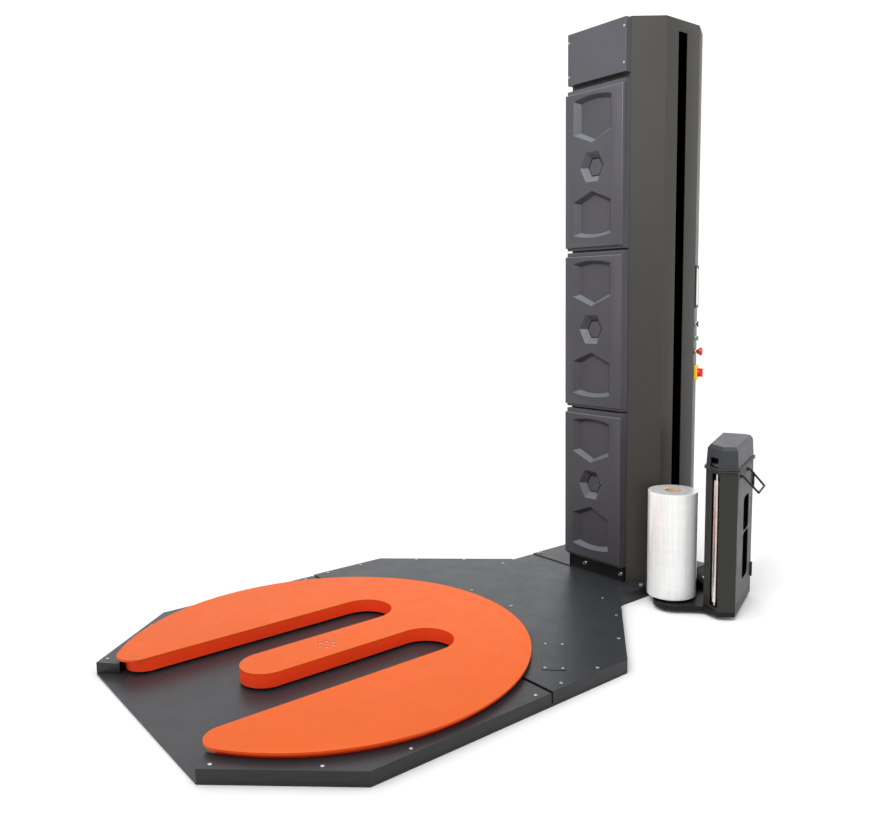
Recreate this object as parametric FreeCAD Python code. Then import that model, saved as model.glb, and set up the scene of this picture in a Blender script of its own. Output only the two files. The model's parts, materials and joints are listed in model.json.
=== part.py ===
"""Turntable pallet wrapper with an open-fronted turntable, a fixed mast and a film carriage.

Units are millimetres.  The origin is on the turntable's axis at floor level, +Y runs from the
turntable to the mast, +X is the side on which the film carriage hangs, and +Z is up.
"""
import FreeCAD, Part
import math
import os
from FreeCAD import Placement, Rotation, Vector

# ---------------------------------------------------------------- driving dimensions
# running and seating clearances
RUN_CLEAR = 0.05            # radial clearance of a shaft in its bore
BODY_CLEAR = 0.4            # between curved faces of different bodies
PANEL_GAP = 2.0             # around hatches and doors

# turntable
TABLE_R = 825.0
TABLE_TOP = 78.0
TABLE_PLATE = 8.0
TABLE_BOTTOM = 21.0
TABLE_UNDERSIDE = TABLE_TOP - TABLE_PLATE
SKIRT_INSET = 27.0
WALL = 5.0
FINGER_HALF = 102.0
FINGER_TIP_Y = -367.0
FORK_SLOT_WIDTH = 246.0
SLOT_OUTER = FINGER_HALF + FORK_SLOT_WIDTH
SLOT_END_Y = 446.0
TIP_ROUND = 80.0
POST_R = 22.0
HUB_R = 46.0
CENTRE_BOLTS = 6
CENTRE_BOLT_PCD = 62.0
CENTRE_BOLT_R = 4.0
BOLT_HOLE_CLEAR = 0.5
COUNTERBORE = 4.0           # depth of the bolt heads' seats in the table plate

# mast's place and width
MAST_X = 84.5
MAST_HALF = 284.5

# base
FLOOR_THK = 10.0
FLOOR_SKIN = 1.5            # left under the chain's groove
BASE_HALF = TABLE_R + 34.0
FRONT_Y = 74.0 - TABLE_R
FRONT_HALF = 499.0
FRONT_CORNER_Y = -353.0
REAR_CORNER_Y = TABLE_R + 9.0
REAR_HALF = MAST_X + MAST_HALF + 5.0
REAR_Y = TABLE_R + 538.0
SEAM_Y = 421.0
SEAM_GAP = 6.0
DECK_TOP = TABLE_UNDERSIDE - 13.0
WING_TOP = DECK_TOP - 5.0
COVER_THK = 4.0
TABLE_WELL_R = TABLE_R - 19.0
WING_END_CUT = 104.0        # length of the cut across each wing's front end
FOOT_THK = 5.0
SHAFT_PIT_R = 70.0

# access hatch in the rear deck
HATCH_R = TABLE_R + 88.0
HATCH_ANGLE = 44.5
HATCH_LENGTH = 252.0
HATCH_WIDTH = 92.0
HATCH_THK = 2.0
HATCH_LEDGE = 15.0

# support wheels under the turntable
FORK_PLATE = 4.0
FORK_CHEEK = 6.0
WHEEL_LIFT = 0.3            # running gap between a wheel and the floor plate
WHEEL_HEADROOM = 7.7        # between a wheel and its fork's top
WHEEL_R = (TABLE_UNDERSIDE - FORK_PLATE - WHEEL_HEADROOM - FLOOR_THK - WHEEL_LIFT) / 2
WHEEL_WIDTH = 26.0
WHEEL_AXLE_R = 8.0
WHEEL_RIM = 7.0
WHEEL_TRACK_R = TABLE_R - 215.0
WHEEL_ANGLES = (8.0, 62.0, 118.0, 172.0, 218.0, 322.0)   # anticlockwise from +X

# turntable drive: the chain lies in a groove of the floor plate
CHAIN_PITCH = 12.7
TABLE_TEETH = 42
DRIVE_TEETH = 18
CHAIN_THK = 4.0
CHAIN_SINK = 0.8            # from the chain to the floor plate's top and to the groove's bottom
CHAIN_WIDTH = FLOOR_THK - FLOOR_SKIN - 2 * CHAIN_SINK
SPROCKET_THK = CHAIN_WIDTH - 2.0
SPROCKET_Z = FLOOR_SKIN + CHAIN_SINK + 1.0
GROOVE_SIDE = 2.0
DRIVE_SHAFT_R = 14.0

# mast: its plan is placed from the rear edge of the deck
MAST_TOP = 2714.0
MAST_NOSE_HALF = 182.0
MAST_BACK_HALF = 212.5
PANEL_FACE_Y = REAR_Y + 117.0
PANEL_STEP = 18.0
PANEL_FLANGE_Y = PANEL_FACE_Y + PANEL_STEP
NOSE_Y = PANEL_FACE_Y + 54.0
SIDE_FRONT_Y = NOSE_Y + 124.0
SIDE_BACK_Y = SIDE_FRONT_Y + 249.0
BACK_Y = SIDE_BACK_Y + 127.0
MAST_BASE_END_Y = BACK_Y + 41.0
MAST_WALL = 3.0
SLOT_Y = SIDE_FRONT_Y + 123.0
SLOT_HALF = 34.0
SLOT_BOTTOM = DECK_TOP + 35.0
SLOT_TOP = MAST_TOP - 47.0
CAP_THK = 6.0
DRIVE_Y = SIDE_FRONT_Y + 42.0

# front panels
PANEL_HALF = 181.0
PANEL_BOTTOM = DECK_TOP + 73.0
PANEL_SEAM = 10.0
PANEL_COUNT = 3
HEAD_HEIGHT = 240.0
HEAD_GAP = 9.0
HEAD_BOTTOM = MAST_TOP - HEAD_HEIGHT
PANEL_PITCH = (HEAD_BOTTOM - HEAD_GAP - PANEL_SEAM - PANEL_BOTTOM) / PANEL_COUNT
PANEL_LOW_EDGE = 12.0       # flange left below and above the raised face
PANEL_HIGH_EDGE = 20.0
POCKET_DEPTH = 26.0
POCKET_HALF = 120.0
POCKET_MARGIN = 50.0        # from a panel's end to the crown of its pocket
POCKET_RISE = 14.0
POCKET_POINT = 112.0        # from the panel's middle to a pocket's point
POCKET_SHOULDER = 160.0
PATTERN_X = -6.0
PATTERN_Z = 8.0
HEX_HALF_WIDTH = 77.0
HEX_HALF_HEIGHT = 71.0
PANEL_BACKING = 14.0
PLINTH_Y = PANEL_FACE_Y + 37.0
PLINTH_RECESS = 4.0

# lift
RAIL_WIDTH = 18.0
RAIL_DEPTH = 40.0
TROLLEY_HALF = 80.0
TROLLEY_HEIGHT = 300.0
TROLLEY_LOW = 115.0
TROLLEY_PLAY = 7.0          # between the trolley and the mast's side wall
NECK_HALF = 19.0
NECK_OUT = 30.0
PULLEY_R = 30.0
PULLEY_FLANGE = 2.4
PULLEY_WIDTH = 30.0
PULLEY_SHAFT_R = 8.0
PULLEY_X = 260.0
PULLEY_LOW_Z = 300.0
PULLEY_HIGH_Z = MAST_TOP - 124.0
BELT_THK = 3.0
BELT_WIDTH = 26.0

# film roll, placed beside the mast base, and the carriage, placed beside the roll
ROLL_R = 115.0
ROLL_X = REAR_HALF + 8.0 + ROLL_R
ROLL_Y = SLOT_Y - 191.0
ROLL_BOTTOM = 48.0
ROLL_HEIGHT = 500.0
CORE_OUTER_R = 44.0
CORE_INNER_R = 38.0
SPINDLE_HEIGHT = 170.0
SPINDLE_FLANGE_R = 70.0
SPINDLE_FLANGE = 7.0
SPINDLE_PIN_R = 12.0
CARRIAGE_TURN = 22.5        # the tower is turned this much about the vertical
TOWER_X = ROLL_X + ROLL_R + 220.0   # front corner of the tower on the door side
TOWER_Y = ROLL_Y + 15.0
TOWER_WIDTH = 163.0
TOWER_SIDE = 385.0
TOWER_BACK = 413.0
TOWER_NOSE = (-70.0, -28.0)
TOWER_SHOULDER = (12.0 - TOWER_WIDTH, 50.0)   # the film mouth's facet runs from here to the nose
MOUTH_NEAR = 6.0            # along that facet, from the nose
MOUTH_FAR = 64.0
TOWER_BOTTOM = 40.0
TOWER_TOP = 680.0
TOWER_WALL = 3.0
TOWER_ENDS = 8.0            # thickness of the tower's top and bottom plates
TRAY_BOTTOM = 18.0
NOSE_X = ROLL_X + 43.0
NOSE_CENTRE_Y = ROLL_Y - 45.0
NOSE_R = 92.0
CAP_TOP = TOWER_TOP + 110.0
CAP_FLANGE = 12.0
CAP_LIP = 8.0
IDLER_PLACE = (-92.0, 13.0)
ROLLER_R = 14.5
ROLLER_JOURNAL_R = 6.0
ROLLER_BOTTOM = TOWER_BOTTOM + 35.0
ROLLER_TOP = TOWER_TOP - 44.0
STRETCH_R = 34.0
STRETCH_X = -84.0
STRETCH_Y = 128.0
STRETCH_JOURNAL_R = 9.0
GEAR_MODULE = 3.0
SLOW_TEETH = 38
FAST_TEETH = 22
STRETCH_GAP = GEAR_MODULE * (SLOW_TEETH + FAST_TEETH) / 2
GEAR_THK = 10.0
GEAR_LIFT = 4.0
GEAR_BACKLASH = 0.5

# threading door of the tower
DOOR_NEAR = 8.0
DOOR_FAR = TOWER_SIDE - 23.0
DOOR_BOTTOM = TOWER_BOTTOM + 22.0
DOOR_TOP = TOWER_TOP - 16.0
HINGE_ALONG = DOOR_FAR + 6.0
HINGE_OUT = 5.5
HINGE_PIN_R = 3.0
KNUCKLE_R = 4.6
WINDOW_NEAR = 150.0
WINDOW_FAR = DOOR_FAR - 80.0
WINDOW_BOTTOM = DOOR_BOTTOM + 84.0
WINDOW_TOP = DOOR_TOP - 130.0
WINDOW_BAR_Z = 370.0
WINDOW_BAR_HALF = 4.0
WINDOW_ROUND = 26.0
HANDLE_R = 5.0
HANDLE_NEAR = 62.0
HANDLE_FAR = 236.0
HANDLE_Z = DOOR_TOP - 12.0
HANDLE_DROP = 70.0
HANDLE_OUT = 76.0

# controls on the mast's rear corner face
SCREEN_Z = 1496.0
SCREEN_HEIGHT = 208.0
SCREEN_WIDTH = 118.0
START_Z = 1310.0
RESET_Z = 1240.0
STOP_Z = 1173.0
SWITCH_Z = 1067.0
SWITCH_PLATE = 72.0
SWITCH_THK = 16.0
BUTTON_TRAVEL = 5.0
STEM_R = 6.0
COLLAR_NECK_R = 11.5
PANEL_HOLE_R = 12.0

# service door at the back of the mast
SERVICE_HALF = 186.0
SERVICE_BOTTOM = 260.0
SERVICE_TOP = 1860.0
SERVICE_PIN_R = 3.0
SERVICE_KNUCKLE_R = 6.0
GLAND_X = MAST_X - 120.0
GLAND_Z = 150.0
GLAND_BORE_R = 7.0
GLAND_THREAD_R = 12.0

SCREW_R = 7.0
SCREW_HEAD = 3.0

UP = Vector(0, 0, 1)


# ---------------------------------------------------------------- helpers
def box(x0, y0, z0, x1, y1, z1):
    return Part.makeBox(x1 - x0, y1 - y0, z1 - z0, Vector(x0, y0, z0))


def rod(radius, z0, z1, x=0.0, y=0.0):
    return Part.makeCylinder(radius, z1 - z0, Vector(x, y, z0))


def ring(outer, inner, z0, z1, x=0.0, y=0.0):
    return rod(outer, z0, z1, x, y).cut(rod(inner, z0 - 1, z1 + 1, x, y))


def prism(points, z0, z1):
    corners = [Vector(x, y, z0) for x, y in points]
    face = Part.Face(Part.makePolygon(corners + corners[:1]))
    return face.extrude(Vector(0, 0, z1 - z0))


def inset(points, depth):
    """Moves every side of a convex anticlockwise outline inwards by depth."""
    sides = []
    for (x0, y0), (x1, y1) in zip(points, points[1:] + points[:1]):
        length = math.hypot(x1 - x0, y1 - y0)
        nx = -(y1 - y0) / length
        ny = (x1 - x0) / length
        sides.append((nx, ny, nx * x0 + ny * y0 + depth))
    result = []
    for (a, b, c), (d, e, f) in zip(sides[-1:] + sides[:-1], sides):
        det = a * e - b * d
        result.append(((c * e - b * f) / det, (a * f - c * d) / det))
    return result


def union(shapes):
    first, rest = shapes[0], shapes[1:]
    return first.fuse(rest).removeSplitter() if rest else first


def group(shapes):
    return Part.makeCompound(shapes)


def save(name, shape):
    shape.exportStep("parts/" + name + ".step")


def polar(radius, degrees):
    angle = math.radians(degrees)
    return radius * math.cos(angle), radius * math.sin(angle)


def screw(x, y, z, radius=SCREW_R, head=SCREW_HEAD):
    """A low domed screw head standing on a face at height z, with a hexagon socket."""
    cap = rod(radius, z, z + head * 0.6, x, y)
    dome = Part.makeCone(radius, radius * 0.6, head * 0.4, Vector(x, y, z + head * 0.6))
    socket = [(x + sx, y + sy) for sx, sy in (polar(radius * 0.42, 60 * i) for i in range(6))]
    return cap.fuse(dome).removeSplitter().cut(prism(socket, z + head * 0.4, z + head * 2))


def hexagon(radius, turn=0.0):
    return [polar(radius, 60 * i + turn) for i in range(6)]


# ---------------------------------------------------------------- outlines of the base
def base_outline():
    half = [(FRONT_HALF, FRONT_Y), (BASE_HALF, FRONT_CORNER_Y), (BASE_HALF, REAR_CORNER_Y),
            (REAR_HALF, REAR_Y)]
    return half + [(-x, y) for x, y in reversed(half)]


def table_well(top):
    """The table's round well, as a cutter."""
    return rod(TABLE_WELL_R, -1, top + 1)


def hollow_cover(points, top, cutters):
    """A folded sheet cover with a flat top and vertical sides, open underneath."""
    outer = prism(points, FLOOR_THK, top)
    inner = prism(inset(points, COVER_THK), FLOOR_THK - 1, top - COVER_THK)
    shell = outer.cut(inner)
    for cutter in cutters:
        shell = shell.cut(cutter)
    return shell


def well_wall(points, top):
    """The curved wall of a cover where it borders the table's well."""
    wall = ring(TABLE_WELL_R + COVER_THK, TABLE_WELL_R, FLOOR_THK, top)
    return wall.common(prism(points, FLOOR_THK, top))


def wing_outline(side):
    """Right wing when side is 1; the end cut runs square to the front chamfer."""
    dx = BASE_HALF - FRONT_HALF
    dy = FRONT_CORNER_Y - FRONT_Y
    length = math.hypot(dx, dy)
    end = (FRONT_HALF - WING_END_CUT * dy / length, FRONT_Y + WING_END_CUT * dx / length)
    seam = SEAM_Y - SEAM_GAP / 2
    points = [(FRONT_HALF, FRONT_Y), (BASE_HALF, FRONT_CORNER_Y), (BASE_HALF, seam),
              (FRONT_HALF - WING_END_CUT, seam), end]
    if side > 0:
        return points
    return [(-x, y) for x, y in reversed(points)]


def deck_outline():
    seam = SEAM_Y + SEAM_GAP / 2
    half = [(BASE_HALF, seam), (BASE_HALF, REAR_CORNER_Y), (REAR_HALF, REAR_Y)]
    return half + [(-x, y) for x, y in reversed(half)]


def mast_outline():
    right = [(MAST_NOSE_HALF, NOSE_Y), (MAST_HALF, SIDE_FRONT_Y), (MAST_HALF, SIDE_BACK_Y),
             (MAST_BACK_HALF, BACK_Y)]
    left = [(-x, y) for x, y in reversed(right)]
    return [(MAST_X + x, y) for x, y in right + left]


# ---------------------------------------------------------------- base
def floor_plate():
    """The flat plate on which everything stands, with the groove in which the chain lies."""
    plate = prism(base_outline(), 0, FLOOR_THK)
    tail = box(-REAR_HALF, REAR_Y - 1, 0, REAR_HALF, MAST_BASE_END_Y, FLOOR_THK)
    return plate.fuse(tail).removeSplitter().cut(chain_groove())


def wing(side):
    points = wing_outline(side)
    shell = hollow_cover(points, WING_TOP, [table_well(WING_TOP)])
    return shell.fuse(well_wall(points, WING_TOP)).removeSplitter()


def hatch_frame():
    """Places the hatch: its long side runs round the turntable."""
    x, y = polar(HATCH_R, HATCH_ANGLE)
    return Placement(Vector(x, y, 0), Rotation(UP, HATCH_ANGLE))


def hatch_block(length, width, z0, z1):
    block = box(-width / 2, -length / 2, z0, width / 2, length / 2, z1)
    block.Placement = hatch_frame()
    return block


def rear_deck():
    points = deck_outline()
    opening = hatch_block(HATCH_LENGTH - 2 * HATCH_LEDGE, HATCH_WIDTH - 2 * HATCH_LEDGE,
                          DECK_TOP - 2 * COVER_THK, DECK_TOP + 1)
    shell = hollow_cover(points, DECK_TOP, [table_well(DECK_TOP), opening])
    return shell.fuse(well_wall(points, DECK_TOP)).removeSplitter()


def access_hatch():
    return hatch_block(HATCH_LENGTH, HATCH_WIDTH, DECK_TOP, DECK_TOP + HATCH_THK)


def along(p, q, shares, margin):
    """Points beside the edge p to q, moved inwards (to its left) by margin."""
    length = math.hypot(q[0] - p[0], q[1] - p[1])
    nx = -(q[1] - p[1]) / length * margin
    ny = (q[0] - p[0]) / length * margin
    return [(p[0] + (q[0] - p[0]) * s + nx, p[1] + (q[1] - p[1]) * s + ny) for s in shares]


def cover_screws():
    """Button-head screws along the outer edges of the covers and in the hatch's corners."""
    margin = 26.0
    right = wing_outline(1)
    deck = deck_outline()
    wing_points = along(right[0], right[1], (0.07, 0.72), margin)
    wing_points += along(right[1], right[2], (0.22, 0.93), margin)
    deck_points = along(deck[0], deck[1], (0.17, 0.65), margin)
    deck_points += along(deck[1], deck[2], (0.28, 0.64), margin)
    deck_points += [(REAR_HALF - margin, REAR_Y - 90.0), (140.0, TABLE_WELL_R + 76.0)]
    heads = []
    for side in (1, -1):
        heads += [screw(side * x, y, WING_TOP) for x, y in wing_points]
        heads += [screw(side * x, y, DECK_TOP) for x, y in deck_points]
    for sx in (1, -1):
        for sy in (1, -1):
            head = screw(sx * (HATCH_WIDTH / 2 - 12), sy * (HATCH_LENGTH / 2 - 14),
                         DECK_TOP + HATCH_THK, SCREW_R * 0.8)
            head.Placement = hatch_frame()
            heads.append(head)
    return group(heads)


def mast_base():
    top = DECK_TOP - FOOT_THK
    outline = [(-REAR_HALF, REAR_Y), (REAR_HALF, REAR_Y), (REAR_HALF, MAST_BASE_END_Y),
               (-REAR_HALF, MAST_BASE_END_Y)]
    shell = hollow_cover(outline, top, [])
    return shell.cut(rod(SHAFT_PIT_R, top - 2 * COVER_THK, top + 1, 0, DRIVE_Y))


def mast_foot():
    top = DECK_TOP
    plate = box(-REAR_HALF + 4, PLINTH_Y, top - FOOT_THK, REAR_HALF - 4,
                MAST_BASE_END_Y - 8, top)
    return plate.cut(rod(SHAFT_PIT_R - 10, top - 2 * FOOT_THK, top + 1, 0, DRIVE_Y))


def foot_bolts():
    z = DECK_TOP
    heads = []
    for x in (-REAR_HALF + 26, REAR_HALF - 26):
        for y in (PLINTH_Y + 34, (PLINTH_Y + MAST_BASE_END_Y) / 2, MAST_BASE_END_Y - 40):
            washer = rod(13, z, z + 2, x, y)
            head = prism([(x + a, y + b) for a, b in hexagon(9)], z + 2, z + 9)
            if abs(x - MAST_X) < MAST_HALF + 16 and y > SIDE_FRONT_Y - 20:
                continue
            heads.append(washer.fuse(head).removeSplitter())
    return heads


def centre_post():
    """The fixed pivot: it stands in the groove's round end, under the turntable's hub."""
    return rod(POST_R, FLOOR_SKIN, TABLE_UNDERSIDE - 1)


# ---------------------------------------------------------------- turntable
def slot_cutter(side, widen, z0, z1):
    """One pallet-truck slot with a round closed end."""
    lo = FINGER_HALF - widen
    hi = SLOT_OUTER + widen
    centre = (lo + hi) / 2
    radius = (hi - lo) / 2
    end_y = SLOT_END_Y + widen - radius
    block = box(lo, -TABLE_R - 10, z0, hi, end_y, z1)
    block = block.fuse(rod(radius, z0, z1, centre, end_y))
    if side < 0:
        block = block.mirror(Vector(0, 0, 0), Vector(1, 0, 0))
    return block


def finger_gap(widen, z0, z1):
    """The space in front of the round centre finger."""
    half = FINGER_HALF + 1
    radius = FINGER_HALF - widen
    centre_y = FINGER_TIP_Y + FINGER_HALF
    block = box(-half, -TABLE_R - 10, z0, half, centre_y, z1)
    finger = rod(radius, z0 - 1, z1 + 1, 0, centre_y)
    return block.cut(finger)


def table_solid(inset_by, rim_r, z0, z1):
    """The turntable's plan shape, shrunk by inset_by at every slot wall."""
    disc = rod(rim_r, z0, z1)
    for side in (1, -1):
        disc = disc.cut(slot_cutter(side, inset_by, z0 - 1, z1 + 1))
    disc = disc.cut(finger_gap(inset_by, z0 - 1, z1 + 1))
    return round_tips(disc, inset_by, rim_r, z0, z1)


def round_tips(disc, inset_by, rim_r, z0, z1):
    """Rounds the pointed tip between each slot's outer wall and the rim."""
    radius = TIP_ROUND - inset_by
    cx = SLOT_OUTER + inset_by + radius
    cy = -math.sqrt((rim_r - radius) ** 2 - cx ** 2)
    touch = rim_r / (rim_r - radius)
    for side in (1, -1):
        corner = prism([(side * (cx - radius - 1), cy), (side * (cx - radius - 1), -TABLE_R - 10),
                        (side * cx * touch, -TABLE_R - 10), (side * cx * touch, cy * touch),
                        (side * cx, cy)], z0 - 1, z1 + 1)
        disc = disc.cut(corner.cut(rod(radius, z0 - 2, z1 + 2, side * cx, cy)))
    return disc


def bolt_circle():
    return [polar(CENTRE_BOLT_PCD / 2, 360.0 * (i + 0.5) / CENTRE_BOLTS) for i in range(CENTRE_BOLTS)]


def table_top():
    """The orange top plate; the centre bolts' heads lie below its face."""
    plate = table_solid(0, TABLE_R, TABLE_UNDERSIDE, TABLE_TOP)
    for x, y in bolt_circle():
        plate = plate.cut(rod(CENTRE_BOLT_R + BOLT_HOLE_CLEAR, 0, TABLE_TOP + 1, x, y))
        plate = plate.cut(rod(SCREW_R + 1, TABLE_TOP - COUNTERBORE, TABLE_TOP + 1, x, y))
    return plate


def table_frame():
    """Walls that hang from the top plate along the rim and the slots."""
    rim = TABLE_R - SKIRT_INSET
    outer = table_solid(0, rim, TABLE_BOTTOM, TABLE_UNDERSIDE)
    inner = table_solid(WALL, rim - WALL, TABLE_BOTTOM - 1, TABLE_UNDERSIDE + 1)
    return outer.cut(inner)


def sprocket_profile(teeth):
    pitch_r = CHAIN_PITCH / (2 * math.sin(math.pi / teeth))
    return pitch_r, pitch_r - 2.4, pitch_r + 2.4


def sprocket(teeth, z0, z1):
    """A toothed disc whose tips stay just inside the chain."""
    _, root, tip = sprocket_profile(teeth)
    points = []
    for i in range(teeth):
        step = 360.0 / teeth
        for share, radius in ((-0.30, root), (-0.12, tip), (0.12, tip), (0.30, root)):
            points.append(polar(radius, (i + share) * step))
    return prism(points, z0, z1)


def table_hub():
    """Sprocket, barrel and flange in one, turning on the centre post."""
    top = TABLE_UNDERSIDE
    disc = sprocket(TABLE_TEETH, SPROCKET_Z, SPROCKET_Z + SPROCKET_THK)
    barrel = rod(HUB_R, SPROCKET_Z, top)
    flange = rod(HUB_R + 16, top - 10, top)
    hub = disc.fuse([barrel, flange]).removeSplitter()
    hub = hub.cut(rod(POST_R + RUN_CLEAR, SPROCKET_Z - 1, top + 1))
    for x, y in bolt_circle():
        hub = hub.cut(rod(CENTRE_BOLT_R, top - 11, top + 1, x, y))
    return hub


def centre_bolts():
    seat = TABLE_TOP - COUNTERBORE
    bolts = []
    for x, y in bolt_circle():
        shank = rod(CENTRE_BOLT_R, TABLE_UNDERSIDE - 9, seat, x, y)
        bolts.append(shank.fuse(screw(x, y, seat)).removeSplitter())
    return group(bolts)


def wheel_axle_z():
    return FLOOR_THK + WHEEL_LIFT + WHEEL_R


def on_spoke(shape, degrees):
    """Moves a shape made along +X from the origin out to the wheels' track and turns it."""
    shape.translate(Vector(WHEEL_TRACK_R, 0, 0))
    shape.rotate(Vector(0, 0, 0), UP, degrees)
    return shape


def x_rod(radius, x0, x1, y=0.0, z=0.0):
    return Part.makeCylinder(radius, x1 - x0, Vector(x0, y, z), Vector(1, 0, 0))


def support_wheel(degrees):
    axle_z = wheel_axle_z()
    half = WHEEL_WIDTH / 2
    wheel = x_rod(WHEEL_R, -half, half, 0, axle_z)
    wheel = wheel.cut(x_rod(WHEEL_R - WHEEL_RIM, half - 3, half + 1, 0, axle_z))
    wheel = wheel.cut(x_rod(WHEEL_R - WHEEL_RIM, -half - 1, -half + 3, 0, axle_z))
    wheel = wheel.fuse(x_rod(WHEEL_AXLE_R + 5, -half, half, 0, axle_z)).removeSplitter()
    wheel = wheel.cut(x_rod(WHEEL_AXLE_R + RUN_CLEAR, -half - 1, half + 1, 0, axle_z))
    return on_spoke(wheel, degrees)


def wheel_fork(degrees):
    """Two cheeks under the top plate with the axle between them."""
    axle_z = wheel_axle_z()
    top = TABLE_UNDERSIDE
    half = WHEEL_WIDTH / 2 + 1
    out = half + FORK_CHEEK
    parts = [x_rod(WHEEL_AXLE_R, -out - 2, out + 2, 0, axle_z)]
    for x0, x1 in ((-out, -half), (half, out)):
        parts.append(box(x0, -20, axle_z - WHEEL_AXLE_R - 4, x1, 20, top))
    parts.append(box(-out, -30, top - FORK_PLATE, out, 30, top))
    return on_spoke(union(parts), degrees)


def wheel_forks():
    return group([wheel_fork(angle) for angle in WHEEL_ANGLES])


# ---------------------------------------------------------------- turntable drive
def stadium(r_a, r_b, distance, z0, z1):
    """A belt outline round a circle at the origin and one at (0, distance)."""
    lean = math.asin((r_a - r_b) / distance)
    cos_l, sin_l = math.cos(lean), math.sin(lean)
    block = prism([(r_a * cos_l, r_a * sin_l), (r_b * cos_l, distance + r_b * sin_l),
                   (-r_b * cos_l, distance + r_b * sin_l), (-r_a * cos_l, r_a * sin_l)], z0, z1)
    return block.fuse([rod(r_a, z0, z1), rod(r_b, z0, z1, 0, distance)]).removeSplitter()


def chain_loop(out, z0, z1):
    """The outline of the chain's inner side, moved outwards by out, as a solid."""
    tip_a = sprocket_profile(TABLE_TEETH)[2] + BODY_CLEAR + out
    tip_b = sprocket_profile(DRIVE_TEETH)[2] + BODY_CLEAR + out
    return stadium(tip_a, tip_b, DRIVE_Y, z0, z1)


def drive_chain():
    z0 = FLOOR_SKIN + CHAIN_SINK
    z1 = z0 + CHAIN_WIDTH
    return chain_loop(CHAIN_THK, z0, z1).cut(chain_loop(0, z0 - 1, z1 + 1))


def chain_groove():
    """A narrow groove under each strand, which the wheels roll across, and a pit at each end."""
    z0, z1 = FLOOR_SKIN, FLOOR_THK + 1
    out = CHAIN_THK + GROOVE_SIDE
    groove = chain_loop(out, z0, z1).cut(chain_loop(-GROOVE_SIDE, z0 - 1, z1 + 1))
    pits = []
    for teeth, y in ((TABLE_TEETH, 0), (DRIVE_TEETH, DRIVE_Y)):
        pits.append(rod(sprocket_profile(teeth)[2] + out, z0, z1, 0, y))
    return groove.fuse(pits).removeSplitter()


def drive_sprocket():
    disc = sprocket(DRIVE_TEETH, SPROCKET_Z, SPROCKET_Z + SPROCKET_THK)
    shaft = rod(DRIVE_SHAFT_R, SPROCKET_Z, DECK_TOP + 30)
    piece = disc.fuse(shaft).removeSplitter()
    piece.translate(Vector(0, DRIVE_Y, 0))
    return piece


def drive_motor():
    """Turntable gear motor, standing over its shaft on the foot plate."""
    z = DECK_TOP
    half = SHAFT_PIT_R + 5
    gearbox_top = z + 110
    motor_top = gearbox_top + 220
    gearbox = box(-half, DRIVE_Y - half, z, half, DRIVE_Y + half, gearbox_top)
    bore = rod(DRIVE_SHAFT_R + RUN_CLEAR, z - 1, z + 40, 0, DRIVE_Y)
    motor = rod(62, gearbox_top, motor_top, 0, DRIVE_Y)
    fan = rod(58, motor_top, motor_top + 45, 0, DRIVE_Y)
    return gearbox.fuse([motor, fan]).removeSplitter().cut(bore)


# ---------------------------------------------------------------- mast
def panel_frame():
    """Local frame of the rear corner face that carries the controls: X along it, Y up, Z out."""
    x0, y0 = MAST_X + MAST_HALF, SIDE_BACK_Y
    x1, y1 = MAST_X + MAST_BACK_HALF, BACK_Y
    turn = math.degrees(math.atan2(y1 - y0, x1 - x0))
    spin = Rotation(UP, turn).multiply(Rotation(Vector(1, 0, 0), 90))
    return Placement(Vector((x0 + x1) / 2, (y0 + y1) / 2, 0), spin)


def on_panel(shape):
    shape.Placement = panel_frame().multiply(shape.Placement)
    return shape


def mast_body():
    outer = prism(mast_outline(), DECK_TOP, MAST_TOP)
    inner = prism(inset(mast_outline(), MAST_WALL), DECK_TOP - 1, MAST_TOP + 1)
    shell = outer.cut(inner)
    side_x = MAST_X + MAST_HALF
    shell = shell.cut(box(side_x - 20, SLOT_Y - SLOT_HALF, SLOT_BOTTOM,
                          side_x + 10, SLOT_Y + SLOT_HALF, SLOT_TOP))
    shell = shell.cut(box(MAST_X - SERVICE_HALF + 20, BACK_Y - 20, SERVICE_BOTTOM + 20,
                          MAST_X + SERVICE_HALF - 20, BACK_Y + 10, SERVICE_TOP - 20))
    cut_outs = [box(-SCREEN_WIDTH / 2 + 8, SCREEN_Z - SCREEN_HEIGHT / 2 + 8, -30,
                    SCREEN_WIDTH / 2 - 8, SCREEN_Z + SCREEN_HEIGHT / 2 - 8, 10)]
    for z in (START_Z, RESET_Z, STOP_Z, SWITCH_Z):
        cut_outs.append(Part.makeCylinder(PANEL_HOLE_R, 40, Vector(0, z, -30)))
    for cutter in cut_outs:
        shell = shell.cut(on_panel(cutter))
    gland = Part.makeCylinder(GLAND_THREAD_R + 0.5, 20, Vector(GLAND_X, BACK_Y - 10, GLAND_Z),
                              Vector(0, 1, 0))
    return shell.cut(gland)


def mast_cap():
    inner = inset(mast_outline(), MAST_WALL + 0.2)
    lid = prism(mast_outline(), MAST_TOP, MAST_TOP + CAP_THK)
    collar = prism(inner, MAST_TOP - 18, MAST_TOP)
    collar = collar.cut(prism(inset(inner, 3), MAST_TOP - 19, MAST_TOP))
    return lid.fuse(collar).removeSplitter()


def mast_plinth():
    block = box(MAST_X - PANEL_HALF, PLINTH_Y, DECK_TOP, MAST_X + PANEL_HALF, NOSE_Y,
                PANEL_BOTTOM - 2)
    recess = box(MAST_X - PANEL_HALF + 6, PLINTH_Y - 1, DECK_TOP + 6, MAST_X + PANEL_HALF - 6,
                 PLINTH_Y + PLINTH_RECESS, PANEL_BOTTOM - 12)
    return block.cut(recess)


def y_prism(points, y0, y1):
    """Extrudes an outline given in X and Z from y0 to y1."""
    corners = [Vector(x, y0, z) for x, z in points]
    face = Part.Face(Part.makePolygon(corners + corners[:1]))
    return face.extrude(Vector(0, y1 - y0, 0))


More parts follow.
